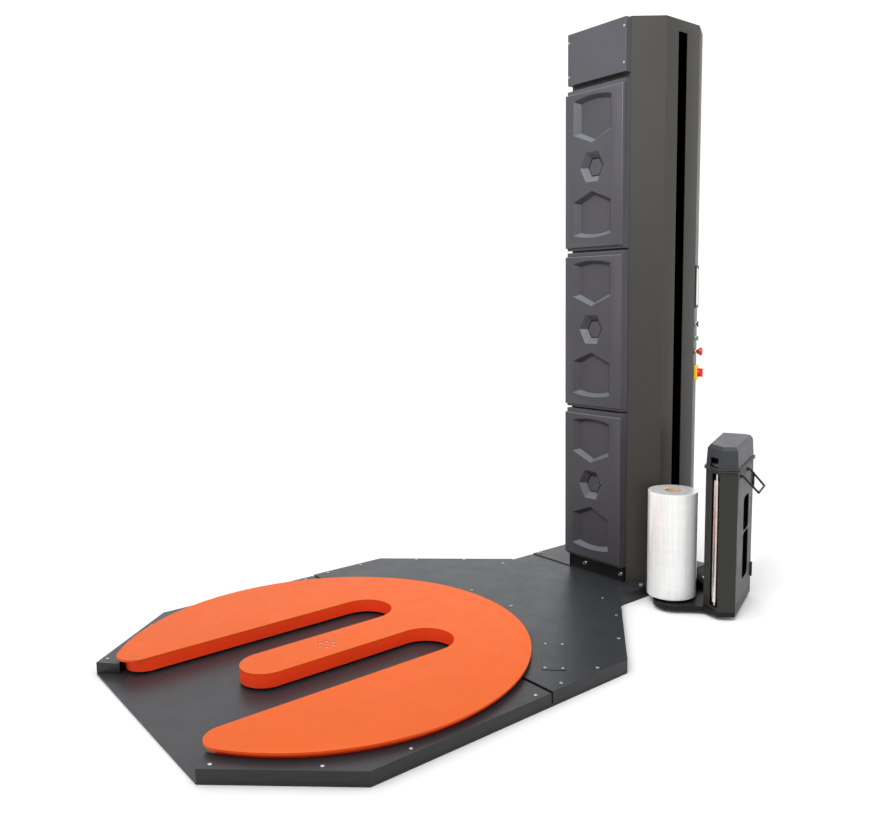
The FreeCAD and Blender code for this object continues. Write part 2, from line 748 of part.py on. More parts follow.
def pocket(points, centre, share_x, share_z, depth):
    """A recess with sloping walls: the outline at the panels' face, drawn in at its bottom.

    Points are given from centre; the shares say how much of their spread is left at the bottom.
    """
    middle_z = (max(z for _, z in points) + min(z for _, z in points)) / 2

    def loop(y, kx, kz):
        corners = [Vector(centre[0] + x * kx, y, centre[1] + middle_z + (z - middle_z) * kz)
                   for x, z in points]
        return Part.makePolygon(corners + corners[:1])
    lead = 1.0
    grow_x = 1 + (1 - share_x) * lead / depth
    grow_z = 1 + (1 - share_z) * lead / depth
    front = loop(PANEL_FACE_Y - lead, grow_x, grow_z)
    back = loop(PANEL_FACE_Y + depth, share_x, share_z)
    return Part.makeLoft([front, back], True, True)


def arched_pocket(end, half_height):
    """Outline of a pocket with a low crown at the panel's end and a point to its middle."""
    crown = half_height - POCKET_MARGIN
    steps = 4
    points = []
    for i in range(2 * steps + 1):
        x = POCKET_HALF * (1 - i / steps)
        points.append((x, end * (crown - POCKET_RISE * (x / POCKET_HALF) ** 2)))
    return points + [(-POCKET_HALF, end * POCKET_SHOULDER), (0, end * POCKET_POINT),
                     (POCKET_HALF, end * POCKET_SHOULDER)]


def front_panel(index):
    """One moulded panel with two arched pockets and a hexagonal one between them."""
    z0 = PANEL_BOTTOM + index * PANEL_PITCH
    z1 = z0 + PANEL_PITCH - PANEL_SEAM
    flange = box(MAST_X - PANEL_HALF, PANEL_FLANGE_Y, z0, MAST_X + PANEL_HALF, NOSE_Y, z1)
    raised = box(MAST_X - PANEL_HALF, PANEL_FACE_Y, z0 + PANEL_LOW_EDGE, MAST_X + PANEL_HALF,
                 PANEL_FLANGE_Y, z1 - PANEL_HIGH_EDGE)
    panel = flange.fuse(raised).removeSplitter()
    centre = (MAST_X + PATTERN_X, (z0 + z1) / 2 + PATTERN_Z)
    for end in (1, -1):
        panel = panel.cut(pocket(arched_pocket(end, (z1 - z0) / 2), centre, 0.76, 0.85, POCKET_DEPTH))
    w, h = HEX_HALF_WIDTH, HEX_HALF_HEIGHT
    hexes = [(w, 0), (w / 2, h), (-w / 2, h), (-w, 0), (-w / 2, -h), (w / 2, -h)]
    panel = panel.cut(pocket(hexes, centre, 0.6, 0.6, POCKET_DEPTH))
    edge = PANEL_SEAM - 2
    hollow = box(MAST_X - PANEL_HALF + edge, PANEL_FACE_Y + POCKET_DEPTH + PANEL_BACKING, z0 + edge,
                 MAST_X + PANEL_HALF - edge, NOSE_Y + 1, z1 - edge)
    return panel.cut(hollow)


def head_panel():
    skin = 4.0
    shell = box(MAST_X - PANEL_HALF, PANEL_FLANGE_Y, HEAD_BOTTOM, MAST_X + PANEL_HALF, NOSE_Y,
                MAST_TOP)
    hollow = box(MAST_X - PANEL_HALF + skin, PANEL_FLANGE_Y + skin, HEAD_BOTTOM + skin,
                 MAST_X + PANEL_HALF - skin, NOSE_Y + 1, MAST_TOP - skin)
    return shell.cut(hollow)


def mast_fasteners():
    """Bolts of the foot plate, screws of the head panel and the plinth's two clamp screws."""
    heads = foot_bolts()
    for z in (HEAD_BOTTOM + 40, MAST_TOP - 40):
        for side in (1, -1):
            x = MAST_X + side * (PANEL_HALF - 10)
            heads.append(Part.makeCylinder(5, 2, Vector(x, PANEL_FLANGE_Y, z), Vector(0, -1, 0)))
    face_y = PLINTH_Y + PLINTH_RECESS
    for share in (-0.4, 0.9):
        x = MAST_X + share * PANEL_HALF
        z = (DECK_TOP + PANEL_BOTTOM) / 2
        washer = Part.makeCylinder(9, 2, Vector(x, face_y - 2, z), Vector(0, 1, 0))
        stem = Part.makeCylinder(6, 12, Vector(x, face_y - 14, z), Vector(0, 1, 0))
        heads.append(washer.fuse(stem).removeSplitter())
    return group(heads)


# ---------------------------------------------------------------- lift inside the mast
def wall_inside_x():
    return MAST_X + MAST_HALF - MAST_WALL


def guide_rails():
    x1 = wall_inside_x()
    rails = []
    for side in (1, -1):
        edge = SLOT_Y + side * (TROLLEY_HALF + BODY_CLEAR)
        lo, hi = sorted((edge, edge + side * RAIL_WIDTH))
        rails.append(box(x1 - RAIL_DEPTH, lo, DECK_TOP, x1, hi, MAST_TOP - 20))
    return group(rails)


def slot_brushes():
    x1 = wall_inside_x()
    reach = NECK_HALF + 1
    strips = []
    for side in (1, -1):
        lo, hi = sorted((SLOT_Y + side * reach, SLOT_Y + side * (SLOT_HALF + 8)))
        strips.append(box(x1 - 5, lo, SLOT_BOTTOM - 6, x1, hi, SLOT_TOP + 6))
    return group(strips)


def pulley(z):
    """A flanged belt pulley on a shaft along Y."""
    half = PULLEY_WIDTH / 2
    centre = Vector(PULLEY_X, SLOT_Y, z)

    def disc(radius, y0, y1):
        start = centre + Vector(0, y0, 0)
        return Part.makeCylinder(radius, y1 - y0, start, Vector(0, 1, 0))
    rim = PULLEY_R + PULLEY_FLANGE
    parts = [disc(PULLEY_R, -half, half), disc(rim, -half - 3, -half), disc(rim, half, half + 3),
             disc(PULLEY_SHAFT_R, -half - 12, half + 30)]
    return union(parts)


def lift_belt():
    inner = PULLEY_R + BODY_CLEAR
    half = BELT_WIDTH / 2
    span = PULLEY_HIGH_Z - PULLEY_LOW_Z

    def loop(radius, y0, y1):
        low = Part.makeCylinder(radius, y1 - y0, Vector(0, y0, 0), Vector(0, 1, 0))
        high = low.translated(Vector(0, 0, span))
        strip = box(-radius, y0, 0, radius, y1, span)
        return strip.fuse([low, high]).removeSplitter()
    belt = loop(inner + BELT_THK, -half, half).cut(loop(inner, -half - 1, half + 1))
    belt.translate(Vector(PULLEY_X, SLOT_Y, PULLEY_LOW_Z))
    return belt


def lift_motor():
    """Gear motor that turns the upper pulley, on a bracket from the mast's side wall."""
    half = PULLEY_WIDTH / 2 + 6
    y0 = SLOT_Y + half
    z = PULLEY_HIGH_Z
    x1 = wall_inside_x() - RAIL_DEPTH - 1
    plate = box(PULLEY_X - 60, y0, z - 60, x1, y0 + 6, z + 60)
    ear = box(x1 - 6, y0, z - 60, x1, SIDE_BACK_Y - 4, z - 50)
    gearbox = box(PULLEY_X - 45, y0 + 6, z - 45, PULLEY_X + 45, y0 + 76, z + 45)
    motor = Part.makeCylinder(42, 110, Vector(PULLEY_X - 6, y0 + 76, z), Vector(0, 1, 0))
    link = box(x1 - 6, y0, z + 50, wall_inside_x() - RAIL_DEPTH, SLOT_Y + TROLLEY_HALF + 10, z + 60)
    bore = Part.makeCylinder(PULLEY_SHAFT_R + RUN_CLEAR, 40, Vector(PULLEY_X, y0 - 1, z),
                             Vector(0, 1, 0))
    return union([plate, ear, gearbox, motor, link]).cut(bore)


def lift_drive():
    return group([lift_motor(), pulley_bracket()])


def pulley_bracket():
    """Bearing bracket of the lower pulley, standing on the foot plate."""
    y0 = SLOT_Y + PULLEY_WIDTH / 2 + 6
    plate = box(PULLEY_X - 30, y0, DECK_TOP, PULLEY_X + 30, y0 + 8, PULLEY_LOW_Z + 30)
    foot = box(PULLEY_X - 30, y0, DECK_TOP, PULLEY_X + 30, y0 + 50, DECK_TOP + 8)
    bore = Part.makeCylinder(PULLEY_SHAFT_R + RUN_CLEAR, 20, Vector(PULLEY_X, y0 - 1, PULLEY_LOW_Z),
                             Vector(0, 1, 0))
    return plate.fuse(foot).removeSplitter().cut(bore)


def lift_trolley():
    """Trolley between the rails, its neck through the slot, and the arm to the carriage."""
    x_out = MAST_X + MAST_HALF
    rail_face = wall_inside_x() - RAIL_DEPTH
    strand_x = PULLEY_X + PULLEY_R + 2 * BODY_CLEAR + BELT_THK
    z0 = TROLLEY_LOW
    z1 = z0 + TROLLEY_HEIGHT
    body = box(rail_face + 4, SLOT_Y - TROLLEY_HALF, z0, wall_inside_x() - TROLLEY_PLAY,
               SLOT_Y + TROLLEY_HALF, z1)
    clamp = box(strand_x, SLOT_Y - 20, z0 + 100, rail_face + 4, SLOT_Y + 20, z0 + 160)
    neck = box(wall_inside_x() - TROLLEY_PLAY, SLOT_Y - NECK_HALF, z0, x_out + NECK_OUT,
               SLOT_Y + NECK_HALF, z1 - 40)
    return union([body, clamp, neck])


# ---------------------------------------------------------------- film carriage
def tower_frame():
    """Local frame of the tower: X out of the door side, Y along the door towards the back."""
    return Placement(Vector(TOWER_X, TOWER_Y, 0), Rotation(UP, CARRIAGE_TURN))


def on_tower(shape):
    shape.Placement = tower_frame().multiply(shape.Placement)
    return shape


def tower_outline():
    """Anticlockwise from the front corner of the door side, in the tower's frame."""
    return [(0, 0), (0, TOWER_SIDE), (-36, TOWER_BACK), (-TOWER_WIDTH, TOWER_BACK),
            TOWER_SHOULDER, TOWER_NOSE]


def mouth_frame():
    """Frame at the nose: X along the mouth's facet towards the shoulder, Y out of the tower."""
    dx = TOWER_SHOULDER[0] - TOWER_NOSE[0]
    dy = TOWER_SHOULDER[1] - TOWER_NOSE[1]
    return Placement(Vector(*TOWER_NOSE, 0), Rotation(UP, math.degrees(math.atan2(dy, dx))))


def stretch_places():
    return (STRETCH_X, STRETCH_Y), (STRETCH_X, STRETCH_Y + STRETCH_GAP)


def roller_bores(z0, z1):
    x, y = IDLER_PLACE
    bores = [rod(ROLLER_JOURNAL_R + RUN_CLEAR, z0, z1, x, y)]
    for x, y in stretch_places():
        bores.append(rod(STRETCH_JOURNAL_R + RUN_CLEAR, z0, z1, x, y))
    return bores


def tower_housing():
    outline = tower_outline()
    shell = prism(outline, TOWER_BOTTOM, TOWER_TOP)
    shell = shell.cut(prism(inset(outline, TOWER_WALL), TOWER_BOTTOM + TOWER_ENDS,
                            TOWER_TOP - TOWER_ENDS))
    door_hole = box(-TOWER_WALL - 1, DOOR_NEAR - PANEL_GAP, DOOR_BOTTOM - PANEL_GAP,
                    5, DOOR_FAR + PANEL_GAP, DOOR_TOP + PANEL_GAP)
    mouth = box(MOUTH_NEAR, -TOWER_WALL - 8, TOWER_BOTTOM + 14, MOUTH_FAR, 20, TOWER_TOP - 14)
    mouth.Placement = mouth_frame()
    shell = shell.cut(door_hole).cut(mouth)
    for bore in roller_bores(TOWER_BOTTOM - 1, TOWER_TOP + 1):
        shell = shell.cut(bore)
    hinge = []
    for z0, z1 in hinge_spans(fixed=True):
        hinge.append(rod(KNUCKLE_R, z0, z1, HINGE_OUT, HINGE_ALONG))
        hinge.append(box(-0.5, HINGE_ALONG, z0, 2, HINGE_ALONG + 16, z1))
        hinge.append(box(0, HINGE_ALONG, z0, HINGE_OUT, HINGE_ALONG + 4.5, z1))
        hinge.append(rod(HINGE_PIN_R, z0, z1 + 40, HINGE_OUT, HINGE_ALONG))
    return on_tower(shell.fuse(hinge).removeSplitter())


def hinge_spans(fixed):
    """Heights of the hinge knuckles: the fixed ones carry the pins of the door's ones."""
    spans = []
    for z in (DOOR_BOTTOM + 40, DOOR_TOP - 120):
        spans.append((z, z + 30) if fixed else (z + 30 + BODY_CLEAR, z + 68))
    return spans


def threading_door():
    panel = box(-TOWER_WALL, DOOR_NEAR, DOOR_BOTTOM, 0, DOOR_FAR, DOOR_TOP)
    for z0, z1 in ((WINDOW_BOTTOM, WINDOW_BAR_Z - WINDOW_BAR_HALF),
                   (WINDOW_BAR_Z + WINDOW_BAR_HALF, WINDOW_TOP)):
        window = box(-20, WINDOW_NEAR, z0, 20, WINDOW_FAR, z1)
        edges = [e for e in window.Edges if abs(e.Length - 40) < 0.01]
        panel = panel.cut(window.makeFillet(WINDOW_ROUND, edges))
    parts = [panel]
    for z0, z1 in hinge_spans(fixed=False):
        parts.append(rod(KNUCKLE_R, z0, z1, HINGE_OUT, HINGE_ALONG))
        parts.append(box(0, DOOR_FAR - 18, z0, 2, HINGE_ALONG - 2, z1))
        parts.append(box(0, HINGE_ALONG - 4.5, z0, HINGE_OUT, HINGE_ALONG, z1))
    door = union(parts)
    for z0, z1 in hinge_spans(fixed=False):
        door = door.cut(rod(HINGE_PIN_R + RUN_CLEAR, z0 - 1, z1 + 1, HINGE_OUT, HINGE_ALONG))
    return on_tower(door)


def tube_path(points, radius):
    """A round bar through points with ball corners."""
    parts = []
    for a, b in zip(points, points[1:]):
        parts.append(Part.makeCylinder(radius, (b - a).Length, a, b - a))
    for p in points[1:-1]:
        parts.append(Part.makeSphere(radius, p))
    return union(parts)


def door_handle():
    z = HANDLE_Z
    low = z - HANDLE_DROP
    points = [Vector(0, HANDLE_NEAR, z), Vector(10, HANDLE_NEAR, z),
              Vector(HANDLE_OUT, HANDLE_NEAR + 8, low), Vector(HANDLE_OUT, HANDLE_FAR - 8, low),
              Vector(10, HANDLE_FAR, z), Vector(0, HANDLE_FAR, z)]
    bar = tube_path(points, HANDLE_R)
    pads = [Part.makeCylinder(11, 3, Vector(0, y, z), Vector(1, 0, 0))
            for y in (HANDLE_NEAR, HANDLE_FAR)]
    return on_tower(bar.fuse(pads).removeSplitter())


def carriage_tray():
    """The low tray under the tower and the roll, with the spindle pin and the arm's gusset."""
    nose = rod(NOSE_R, TRAY_BOTTOM, TOWER_BOTTOM, NOSE_X, NOSE_CENTRE_Y)
    place = tower_frame()
    corners = [place.multVec(Vector(x, y, 0)) for x, y in tower_outline()]
    tower = [(c.x, c.y) for c in corners]
    body = prism(tower, TRAY_BOTTOM, TOWER_BOTTOM)
    front, back = tower[5], tower[3]
    waist = (TOWER_X - 140, TOWER_Y - 39)
    bridge = prism([(NOSE_X + 66, NOSE_CENTRE_Y - 62), waist, front, back,
                    (NOSE_X - NOSE_R, SLOT_Y + 31), (NOSE_X - NOSE_R - 4, SLOT_Y - 121),
                    (NOSE_X - 88, NOSE_CENTRE_Y + 24)],
                   TRAY_BOTTOM, TOWER_BOTTOM)
    pin = rod(SPINDLE_PIN_R, TRAY_BOTTOM, ROLL_BOTTOM + SPINDLE_HEIGHT - 20, ROLL_X, ROLL_Y)
    tray = union([nose, body, bridge, arm_gusset(), pin])
    for bore in roller_bores(TRAY_BOTTOM + 6, TOWER_BOTTOM + 1):
        tray = tray.cut(on_tower(bore))
    return tray


def arm_gusset():
    """The web that carries the tray from the trolley's neck."""
    x0 = MAST_X + MAST_HALF + NECK_OUT
    top = TROLLEY_LOW + TROLLEY_HEIGHT - 40
    points = [(x0, TROLLEY_LOW), (x0 + 50, TRAY_BOTTOM), (x0 + 160, TRAY_BOTTOM),
              (x0 + 160, TOWER_BOTTOM + 20), (x0 + 100, TOWER_BOTTOM + 60), (x0 + 54, top - 40),
              (x0 + 30, top), (x0, top)]
    return y_prism(points, SLOT_Y - NECK_HALF, SLOT_Y + NECK_HALF)


def tower_cap():
    """Moulded cover over the roller drive, with a flange and a notch over the film mouth."""
    z0 = TOWER_TOP
    flange = prism(inset(tower_outline(), -CAP_LIP), z0, z0 + CAP_FLANGE)
    outer = cap_loft(0, z0 + CAP_FLANGE, CAP_TOP)
    inner = cap_loft(3.5, z0 - 1, CAP_TOP - 4)
    z_notch = z0 + CAP_FLANGE
    notch = box(MOUTH_NEAR + 18, -16, z_notch, MOUTH_FAR + 18, 20, z_notch + 44)
    notch.Placement = mouth_frame()
    return on_tower(flange.fuse(outer).removeSplitter().cut(inner).cut(notch))


def cap_loft(depth, z0, z1):
    base = [Vector(x, y, z0) for x, y in inset(tower_outline(), depth)]
    mid_z = z1 - 16
    mid = [Vector(x, y, mid_z) for x, y in inset(tower_outline(), depth + 5)]
    top = [Vector(x, y, z1) for x, y in inset(tower_outline(), depth + 17)]
    wires = [Part.makePolygon(w + w[:1]) for w in (base, mid, top)]
    lower = Part.makeLoft(wires[:2], True, True)
    upper = Part.makeLoft(wires[1:], True, True)
    return lower.fuse(upper).removeSplitter()


def steel_roller():
    x, y = IDLER_PLACE
    parts = [rod(ROLLER_R, ROLLER_BOTTOM, ROLLER_TOP, x, y),
             rod(ROLLER_JOURNAL_R, TOWER_BOTTOM - 8, TOWER_TOP - 1, x, y)]
    return on_tower(union(parts))


def gear(teeth, z0, z1, turn):
    """A spur gear with involute teeth on the named module, thinned for backlash."""
    pitch = GEAR_MODULE * teeth / 2
    base = pitch * math.cos(math.radians(20))
    tip = pitch + GEAR_MODULE * 0.9
    root = pitch - GEAR_MODULE * 1.2
    half_pitch = math.pi / (2 * teeth) - GEAR_BACKLASH / (2 * pitch)

    def involute(radius):
        if radius <= base:
            return 0.0
        angle = math.acos(base / radius)
        return math.tan(angle) - angle
    start = involute(pitch)
    points = []
    for i in range(teeth):
        middle = 2 * math.pi * i / teeth + math.radians(turn)
        flank = []
        steps = 4
        low = max(root, base)
        for k in range(steps + 1):
            radius = low + (tip - low) * k / steps
            flank.append((radius, half_pitch + start - involute(radius)))
        if root < base:
            flank.insert(0, (root, flank[0][1]))
        for radius, spread in flank:
            points.append((radius * math.cos(middle - spread), radius * math.sin(middle - spread)))
        for radius, spread in reversed(flank):
            points.append((radius * math.cos(middle + spread), radius * math.sin(middle + spread)))
    return prism(points, z0, z1)


def stretch_roller(index):
    """A rubber-faced pre-stretch roller with its gear above the tower's top plate."""
    x, y = stretch_places()[index]
    teeth = (SLOW_TEETH, FAST_TEETH)[index]
    turn = (90.0, 270.0 + 180.0 / FAST_TEETH)[index]
    z_gear = TOWER_TOP + GEAR_LIFT
    parts = [rod(STRETCH_R, ROLLER_BOTTOM, ROLLER_TOP, 0, 0),
             rod(STRETCH_JOURNAL_R, TOWER_BOTTOM - 8, z_gear + GEAR_THK, 0, 0),
             gear(teeth, z_gear, z_gear + GEAR_THK, turn)]
    piece = union(parts)
    piece.translate(Vector(x, y, 0))
    return on_tower(piece)


def roller_motor():
    """Gear motor behind the rollers, inside the tower, hung from its top plate."""
    z1 = TOWER_TOP - TOWER_ENDS
    x, y = -90.0, TOWER_SIDE - 43
    block = box(x - 40, y - 42, z1 - 90, x + 40, y + 43, z1)
    motor = rod(34, z1 - 260, z1 - 90, x, y)
    return on_tower(block.fuse(motor).removeSplitter())


def film_spindle():
    """The turning sleeve that carries the roll, over the tray's pin."""
    low = ROLL_BOTTOM - SPINDLE_FLANGE
    high = ROLL_BOTTOM + SPINDLE_HEIGHT
    flange = rod(SPINDLE_FLANGE_R, low, ROLL_BOTTOM, ROLL_X, ROLL_Y)
    barrel = rod(CORE_INNER_R - RUN_CLEAR, low, high, ROLL_X, ROLL_Y)
    bore = rod(SPINDLE_PIN_R + RUN_CLEAR, low - 1, high - 19, ROLL_X, ROLL_Y)
    return flange.fuse(barrel).removeSplitter().cut(bore)


def film_core():
    return ring(CORE_OUTER_R, CORE_INNER_R, ROLL_BOTTOM, ROLL_BOTTOM + ROLL_HEIGHT,
                ROLL_X, ROLL_Y)


def film_roll():
    return ring(ROLL_R, CORE_OUTER_R, ROLL_BOTTOM, ROLL_BOTTOM + ROLL_HEIGHT, ROLL_X, ROLL_Y)


# ---------------------------------------------------------------- controls
def touch_screen():
    half_w, half_h = SCREEN_WIDTH / 2, SCREEN_HEIGHT / 2
    bezel = box(-half_w, SCREEN_Z - half_h, 0, half_w, SCREEN_Z + half_h, 7)
    recess = box(-half_w + 12, SCREEN_Z - half_h + 14, 5.5, half_w - 12, SCREEN_Z + half_h - 14, 8)
    back = box(-half_w + 10, SCREEN_Z - half_h + 10, -25, half_w - 10, SCREEN_Z + half_h - 10, 0)
    return on_panel(bezel.cut(recess).fuse(back).removeSplitter())


def collar(z, outer, inner, height):
    body = Part.makeCylinder(outer, height, Vector(0, z, 0))
    neck = Part.makeCylinder(COLLAR_NECK_R, 22, Vector(0, z, -22))
    hole = Part.makeCylinder(inner, 60, Vector(0, z, -40))
    return body.fuse(neck).removeSplitter().cut(hole)


def control_bezels():
    """Collars of the two buttons, the stop button's collar and the main switch's plate."""
    hole_r = STEM_R + BODY_CLEAR
    items = [collar(START_Z, 17, hole_r, 4), collar(RESET_Z, 14, hole_r, 4),
             collar(STOP_Z, 15, hole_r, 5)]
    half = SWITCH_PLATE / 2
    plate = box(-half, SWITCH_Z - half, 0, half, SWITCH_Z + half, SWITCH_THK)
    edges = [e for e in plate.Edges if abs(e.Length - SWITCH_THK) < 0.01]
    plate = plate.makeFillet(6, edges)
    neck = Part.makeCylinder(COLLAR_NECK_R, 22, Vector(0, SWITCH_Z, -22))
    hole = Part.makeCylinder(STEM_R + RUN_CLEAR, 60, Vector(0, SWITCH_Z, -40))
    items.append(plate.fuse(neck).removeSplitter().cut(hole))
    return on_panel(group(items))


def push_button(z, radius, height):
    """A button whose cap stands off its collar by more than its travel."""
    lift = 4 + BUTTON_TRAVEL + BODY_CLEAR
    cap = Part.makeCylinder(radius, height, Vector(0, z, lift))
    stem = Part.makeCylinder(STEM_R, lift + 16, Vector(0, z, -16))
    return on_panel(cap.fuse(stem).removeSplitter())


def emergency_stop():
    lift = 5 + BUTTON_TRAVEL + BODY_CLEAR
    neck = Part.makeCone(11, 14, 12, Vector(0, STOP_Z, lift))
    head = Part.makeCylinder(20, 10, Vector(0, STOP_Z, lift + 12))
    dome = Part.makeCone(20, 13, 4, Vector(0, STOP_Z, lift + 22))
    stem = Part.makeCylinder(STEM_R, lift + 16, Vector(0, STOP_Z, -16))
    return on_panel(union([stem, neck, head, dome]))


def main_switch():
    """Rotary isolator: a round boss with a bar-shaped grip."""
    z0 = SWITCH_THK + BODY_CLEAR
    boss = Part.makeCylinder(22, 8, Vector(0, SWITCH_Z, z0))
    grip = box(-6, SWITCH_Z - 21, z0 + 8, 6, SWITCH_Z + 21, z0 + 24)
    stem = Part.makeCylinder(STEM_R, z0 + 18, Vector(0, SWITCH_Z, -18))
    return on_panel(union([boss, grip, stem]))


def control_unit():
    """Frequency drives and controller on a mounting plate against the mast's left wall."""
    x0 = MAST_X - MAST_HALF + MAST_WALL
    plate = box(x0, SIDE_FRONT_Y + 14, 640, x0 + 4, SIDE_BACK_Y - 14, 1640)
    blocks = [plate]
    for z0, z1, depth in ((680, 900, 120), (930, 1150, 120), (1190, 1330, 90), (1370, 1470, 60)):
        blocks.append(box(x0 + 4, SIDE_FRONT_Y + 30, z0, x0 + depth, SIDE_BACK_Y - 40, z1))
    return union(blocks)


def service_hinge_x():
    return MAST_X - SERVICE_HALF - 4


def service_spans(fixed):
    spans = []
    for z in (SERVICE_BOTTOM + 150, SERVICE_TOP - 220):
        spans.append((z, z + 35) if fixed else (z + 35 + BODY_CLEAR, z + 75))
    return spans


def service_door():
    """Flat door on the mast's back, hung on its left edge."""
    y0 = BACK_Y + 0.5
    panel = box(MAST_X - SERVICE_HALF, y0, SERVICE_BOTTOM, MAST_X + SERVICE_HALF, y0 + 3,
                SERVICE_TOP)
    parts = [panel]
    for x0 in (MAST_X - SERVICE_HALF + 30, MAST_X + SERVICE_HALF - 36):
        parts.append(box(x0, y0 - 8, SERVICE_BOTTOM + 24, x0 + 3, y0, SERVICE_TOP - 24))
    x, y = service_hinge_x(), BACK_Y + 8
    for z0, z1 in service_spans(fixed=False):
        parts.append(rod(SERVICE_KNUCKLE_R, z0, z1, x, y))
        parts.append(box(x, y0 + 1, z0, MAST_X - SERVICE_HALF + 12, y0 + 6, z1))
    door = union(parts)
    for z0, z1 in service_spans(fixed=False):
        door = door.cut(rod(SERVICE_PIN_R + RUN_CLEAR, z0 - 1, z1 + 1, x, y))
    return group([door, door_lock()])


def service_hinges():
    x, y = service_hinge_x(), BACK_Y + 8
    leaves = []
    for z0, z1 in service_spans(fixed=True):
        knuckle = rod(SERVICE_KNUCKLE_R, z0, z1, x, y)
        pin = rod(SERVICE_PIN_R, z0, z1 + 40, x, y)
        leaf = box(x - 22, BACK_Y, z0, x, BACK_Y + 5, z1)
        leaves.append(union([knuckle, pin, leaf]))
    return group(leaves)


def door_lock():
    """Quarter-turn lock of the service door: barrel and slotted face."""
    x = MAST_X + SERVICE_HALF - 26
    z = (SERVICE_BOTTOM + SERVICE_TOP) / 2
    body = Part.makeCylinder(13, 4, Vector(x, BACK_Y + 4, z), Vector(0, 1, 0))
    key = box(x - 2, BACK_Y + 6.5, z - 7, x + 2, BACK_Y + 9, z + 7)
    return body.cut(key)


def cable_gland():
    """Hexagon and cap nut outside, thread and lock nut inside the mast's back."""
    def disc(radius, y0, y1):
        start = Vector(GLAND_X, BACK_Y + y0, GLAND_Z)
        return Part.makeCylinder(radius, y1 - y0, start, Vector(0, 1, 0))
    hexes = y_prism([(GLAND_X + a, GLAND_Z + b) for a, b in hexagon(19)], BACK_Y, BACK_Y + 8)
    body = union([hexes, disc(15, 8, 24), disc(GLAND_THREAD_R, -14, 0), disc(17, -10, -MAST_WALL)])
    return body.cut(disc(GLAND_BORE_R, -20, 30))


# ---------------------------------------------------------------- build
def build():
    os.makedirs("parts", exist_ok=True)
    makers = [floor_plate, rear_deck, access_hatch, cover_screws, mast_base, mast_foot,
              centre_post, table_top, table_frame, table_hub, centre_bolts, wheel_forks,
              drive_chain, drive_sprocket, drive_motor, mast_body, mast_cap, mast_plinth,
              head_panel, mast_fasteners, guide_rails, slot_brushes, lift_belt, lift_drive,
              lift_trolley, tower_housing, threading_door, door_handle,
              carriage_tray, tower_cap, steel_roller, roller_motor, film_spindle, film_core,
              film_roll, touch_screen, control_bezels, emergency_stop, main_switch, control_unit,
              service_door, service_hinges, cable_gland]
    for maker in makers:
        save(maker.__name__, maker())
    save("wing_right", wing(1))
    save("wing_left", wing(-1))
    for name, index in (("lower", 0), ("middle", 1), ("upper", 2)):
        save("front_panel_" + name, front_panel(index))
    for number, angle in enumerate(WHEEL_ANGLES, 1):
        save("support_wheel_%d" % number, support_wheel(angle))
    save("lift_pulley_lower", pulley(PULLEY_LOW_Z))
    save("lift_pulley_upper", pulley(PULLEY_HIGH_Z))
    save("stretch_roller_slow", stretch_roller(0))
    save("stretch_roller_fast", stretch_roller(1))
    save("start_button", push_button(START_Z, 15, 5))
    save("reset_button", push_button(RESET_Z, 12, 6))


build()
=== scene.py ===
import json
import math

import bpy
from mathutils import Matrix, Vector

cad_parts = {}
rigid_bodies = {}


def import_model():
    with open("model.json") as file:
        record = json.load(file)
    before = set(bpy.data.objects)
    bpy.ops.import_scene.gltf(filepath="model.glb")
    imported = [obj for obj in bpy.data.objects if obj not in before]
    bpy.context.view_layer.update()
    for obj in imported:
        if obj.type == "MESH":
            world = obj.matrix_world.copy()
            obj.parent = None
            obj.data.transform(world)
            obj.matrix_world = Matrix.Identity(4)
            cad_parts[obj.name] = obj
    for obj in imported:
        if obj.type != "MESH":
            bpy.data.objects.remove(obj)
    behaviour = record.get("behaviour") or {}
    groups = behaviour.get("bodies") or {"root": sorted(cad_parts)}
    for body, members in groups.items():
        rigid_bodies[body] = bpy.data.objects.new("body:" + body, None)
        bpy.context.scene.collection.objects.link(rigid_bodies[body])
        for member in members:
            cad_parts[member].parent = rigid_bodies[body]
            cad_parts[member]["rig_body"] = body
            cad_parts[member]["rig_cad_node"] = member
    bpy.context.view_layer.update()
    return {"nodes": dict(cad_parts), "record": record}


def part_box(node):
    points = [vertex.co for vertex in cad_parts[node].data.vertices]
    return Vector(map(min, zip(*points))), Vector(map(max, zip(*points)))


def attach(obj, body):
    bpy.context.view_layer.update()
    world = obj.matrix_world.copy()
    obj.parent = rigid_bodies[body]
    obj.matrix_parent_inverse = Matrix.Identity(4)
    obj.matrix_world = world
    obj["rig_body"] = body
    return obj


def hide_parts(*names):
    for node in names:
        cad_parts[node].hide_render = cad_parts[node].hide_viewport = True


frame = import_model()
NODES = frame["nodes"]


# ---------------------------------------------------------------- small tools
def deselect():
    """Leaves edit mode and selects nothing."""
    if bpy.context.object and bpy.context.object.mode != "OBJECT":
        bpy.ops.object.mode_set(mode="OBJECT")
    bpy.ops.object.select_all(action="DESELECT")


def pick(piece):
    """Selects one piece and makes it active."""
    deselect()
    piece.select_set(True)
    bpy.context.view_layer.objects.active = piece
    return piece


def settle(name):
    """Names the new primitive and puts its place and size into its mesh."""
    piece = bpy.context.object
    piece.name = name
    piece.data.name = name
    bpy.ops.object.transform_apply(location=True, rotation=True, scale=True)
    return piece


def add_block(name, low, high):
    deselect()
    low, high = Vector(low), Vector(high)
    bpy.ops.mesh.primitive_cube_add(size=1, location=(low + high) / 2, scale=high - low)
    return settle(name)


def add_drum(name, radius, start, end, sides=64):
    """A drum from the point start to the point end."""
    deselect()
    start, end = Vector(start), Vector(end)
    turn = (end - start).to_track_quat("Z", "Y").to_euler()
    bpy.ops.mesh.primitive_cone_add(
        vertices=sides, radius1=radius, radius2=radius,
        depth=(end - start).length, location=(start + end) / 2, rotation=turn)
    return settle(name)


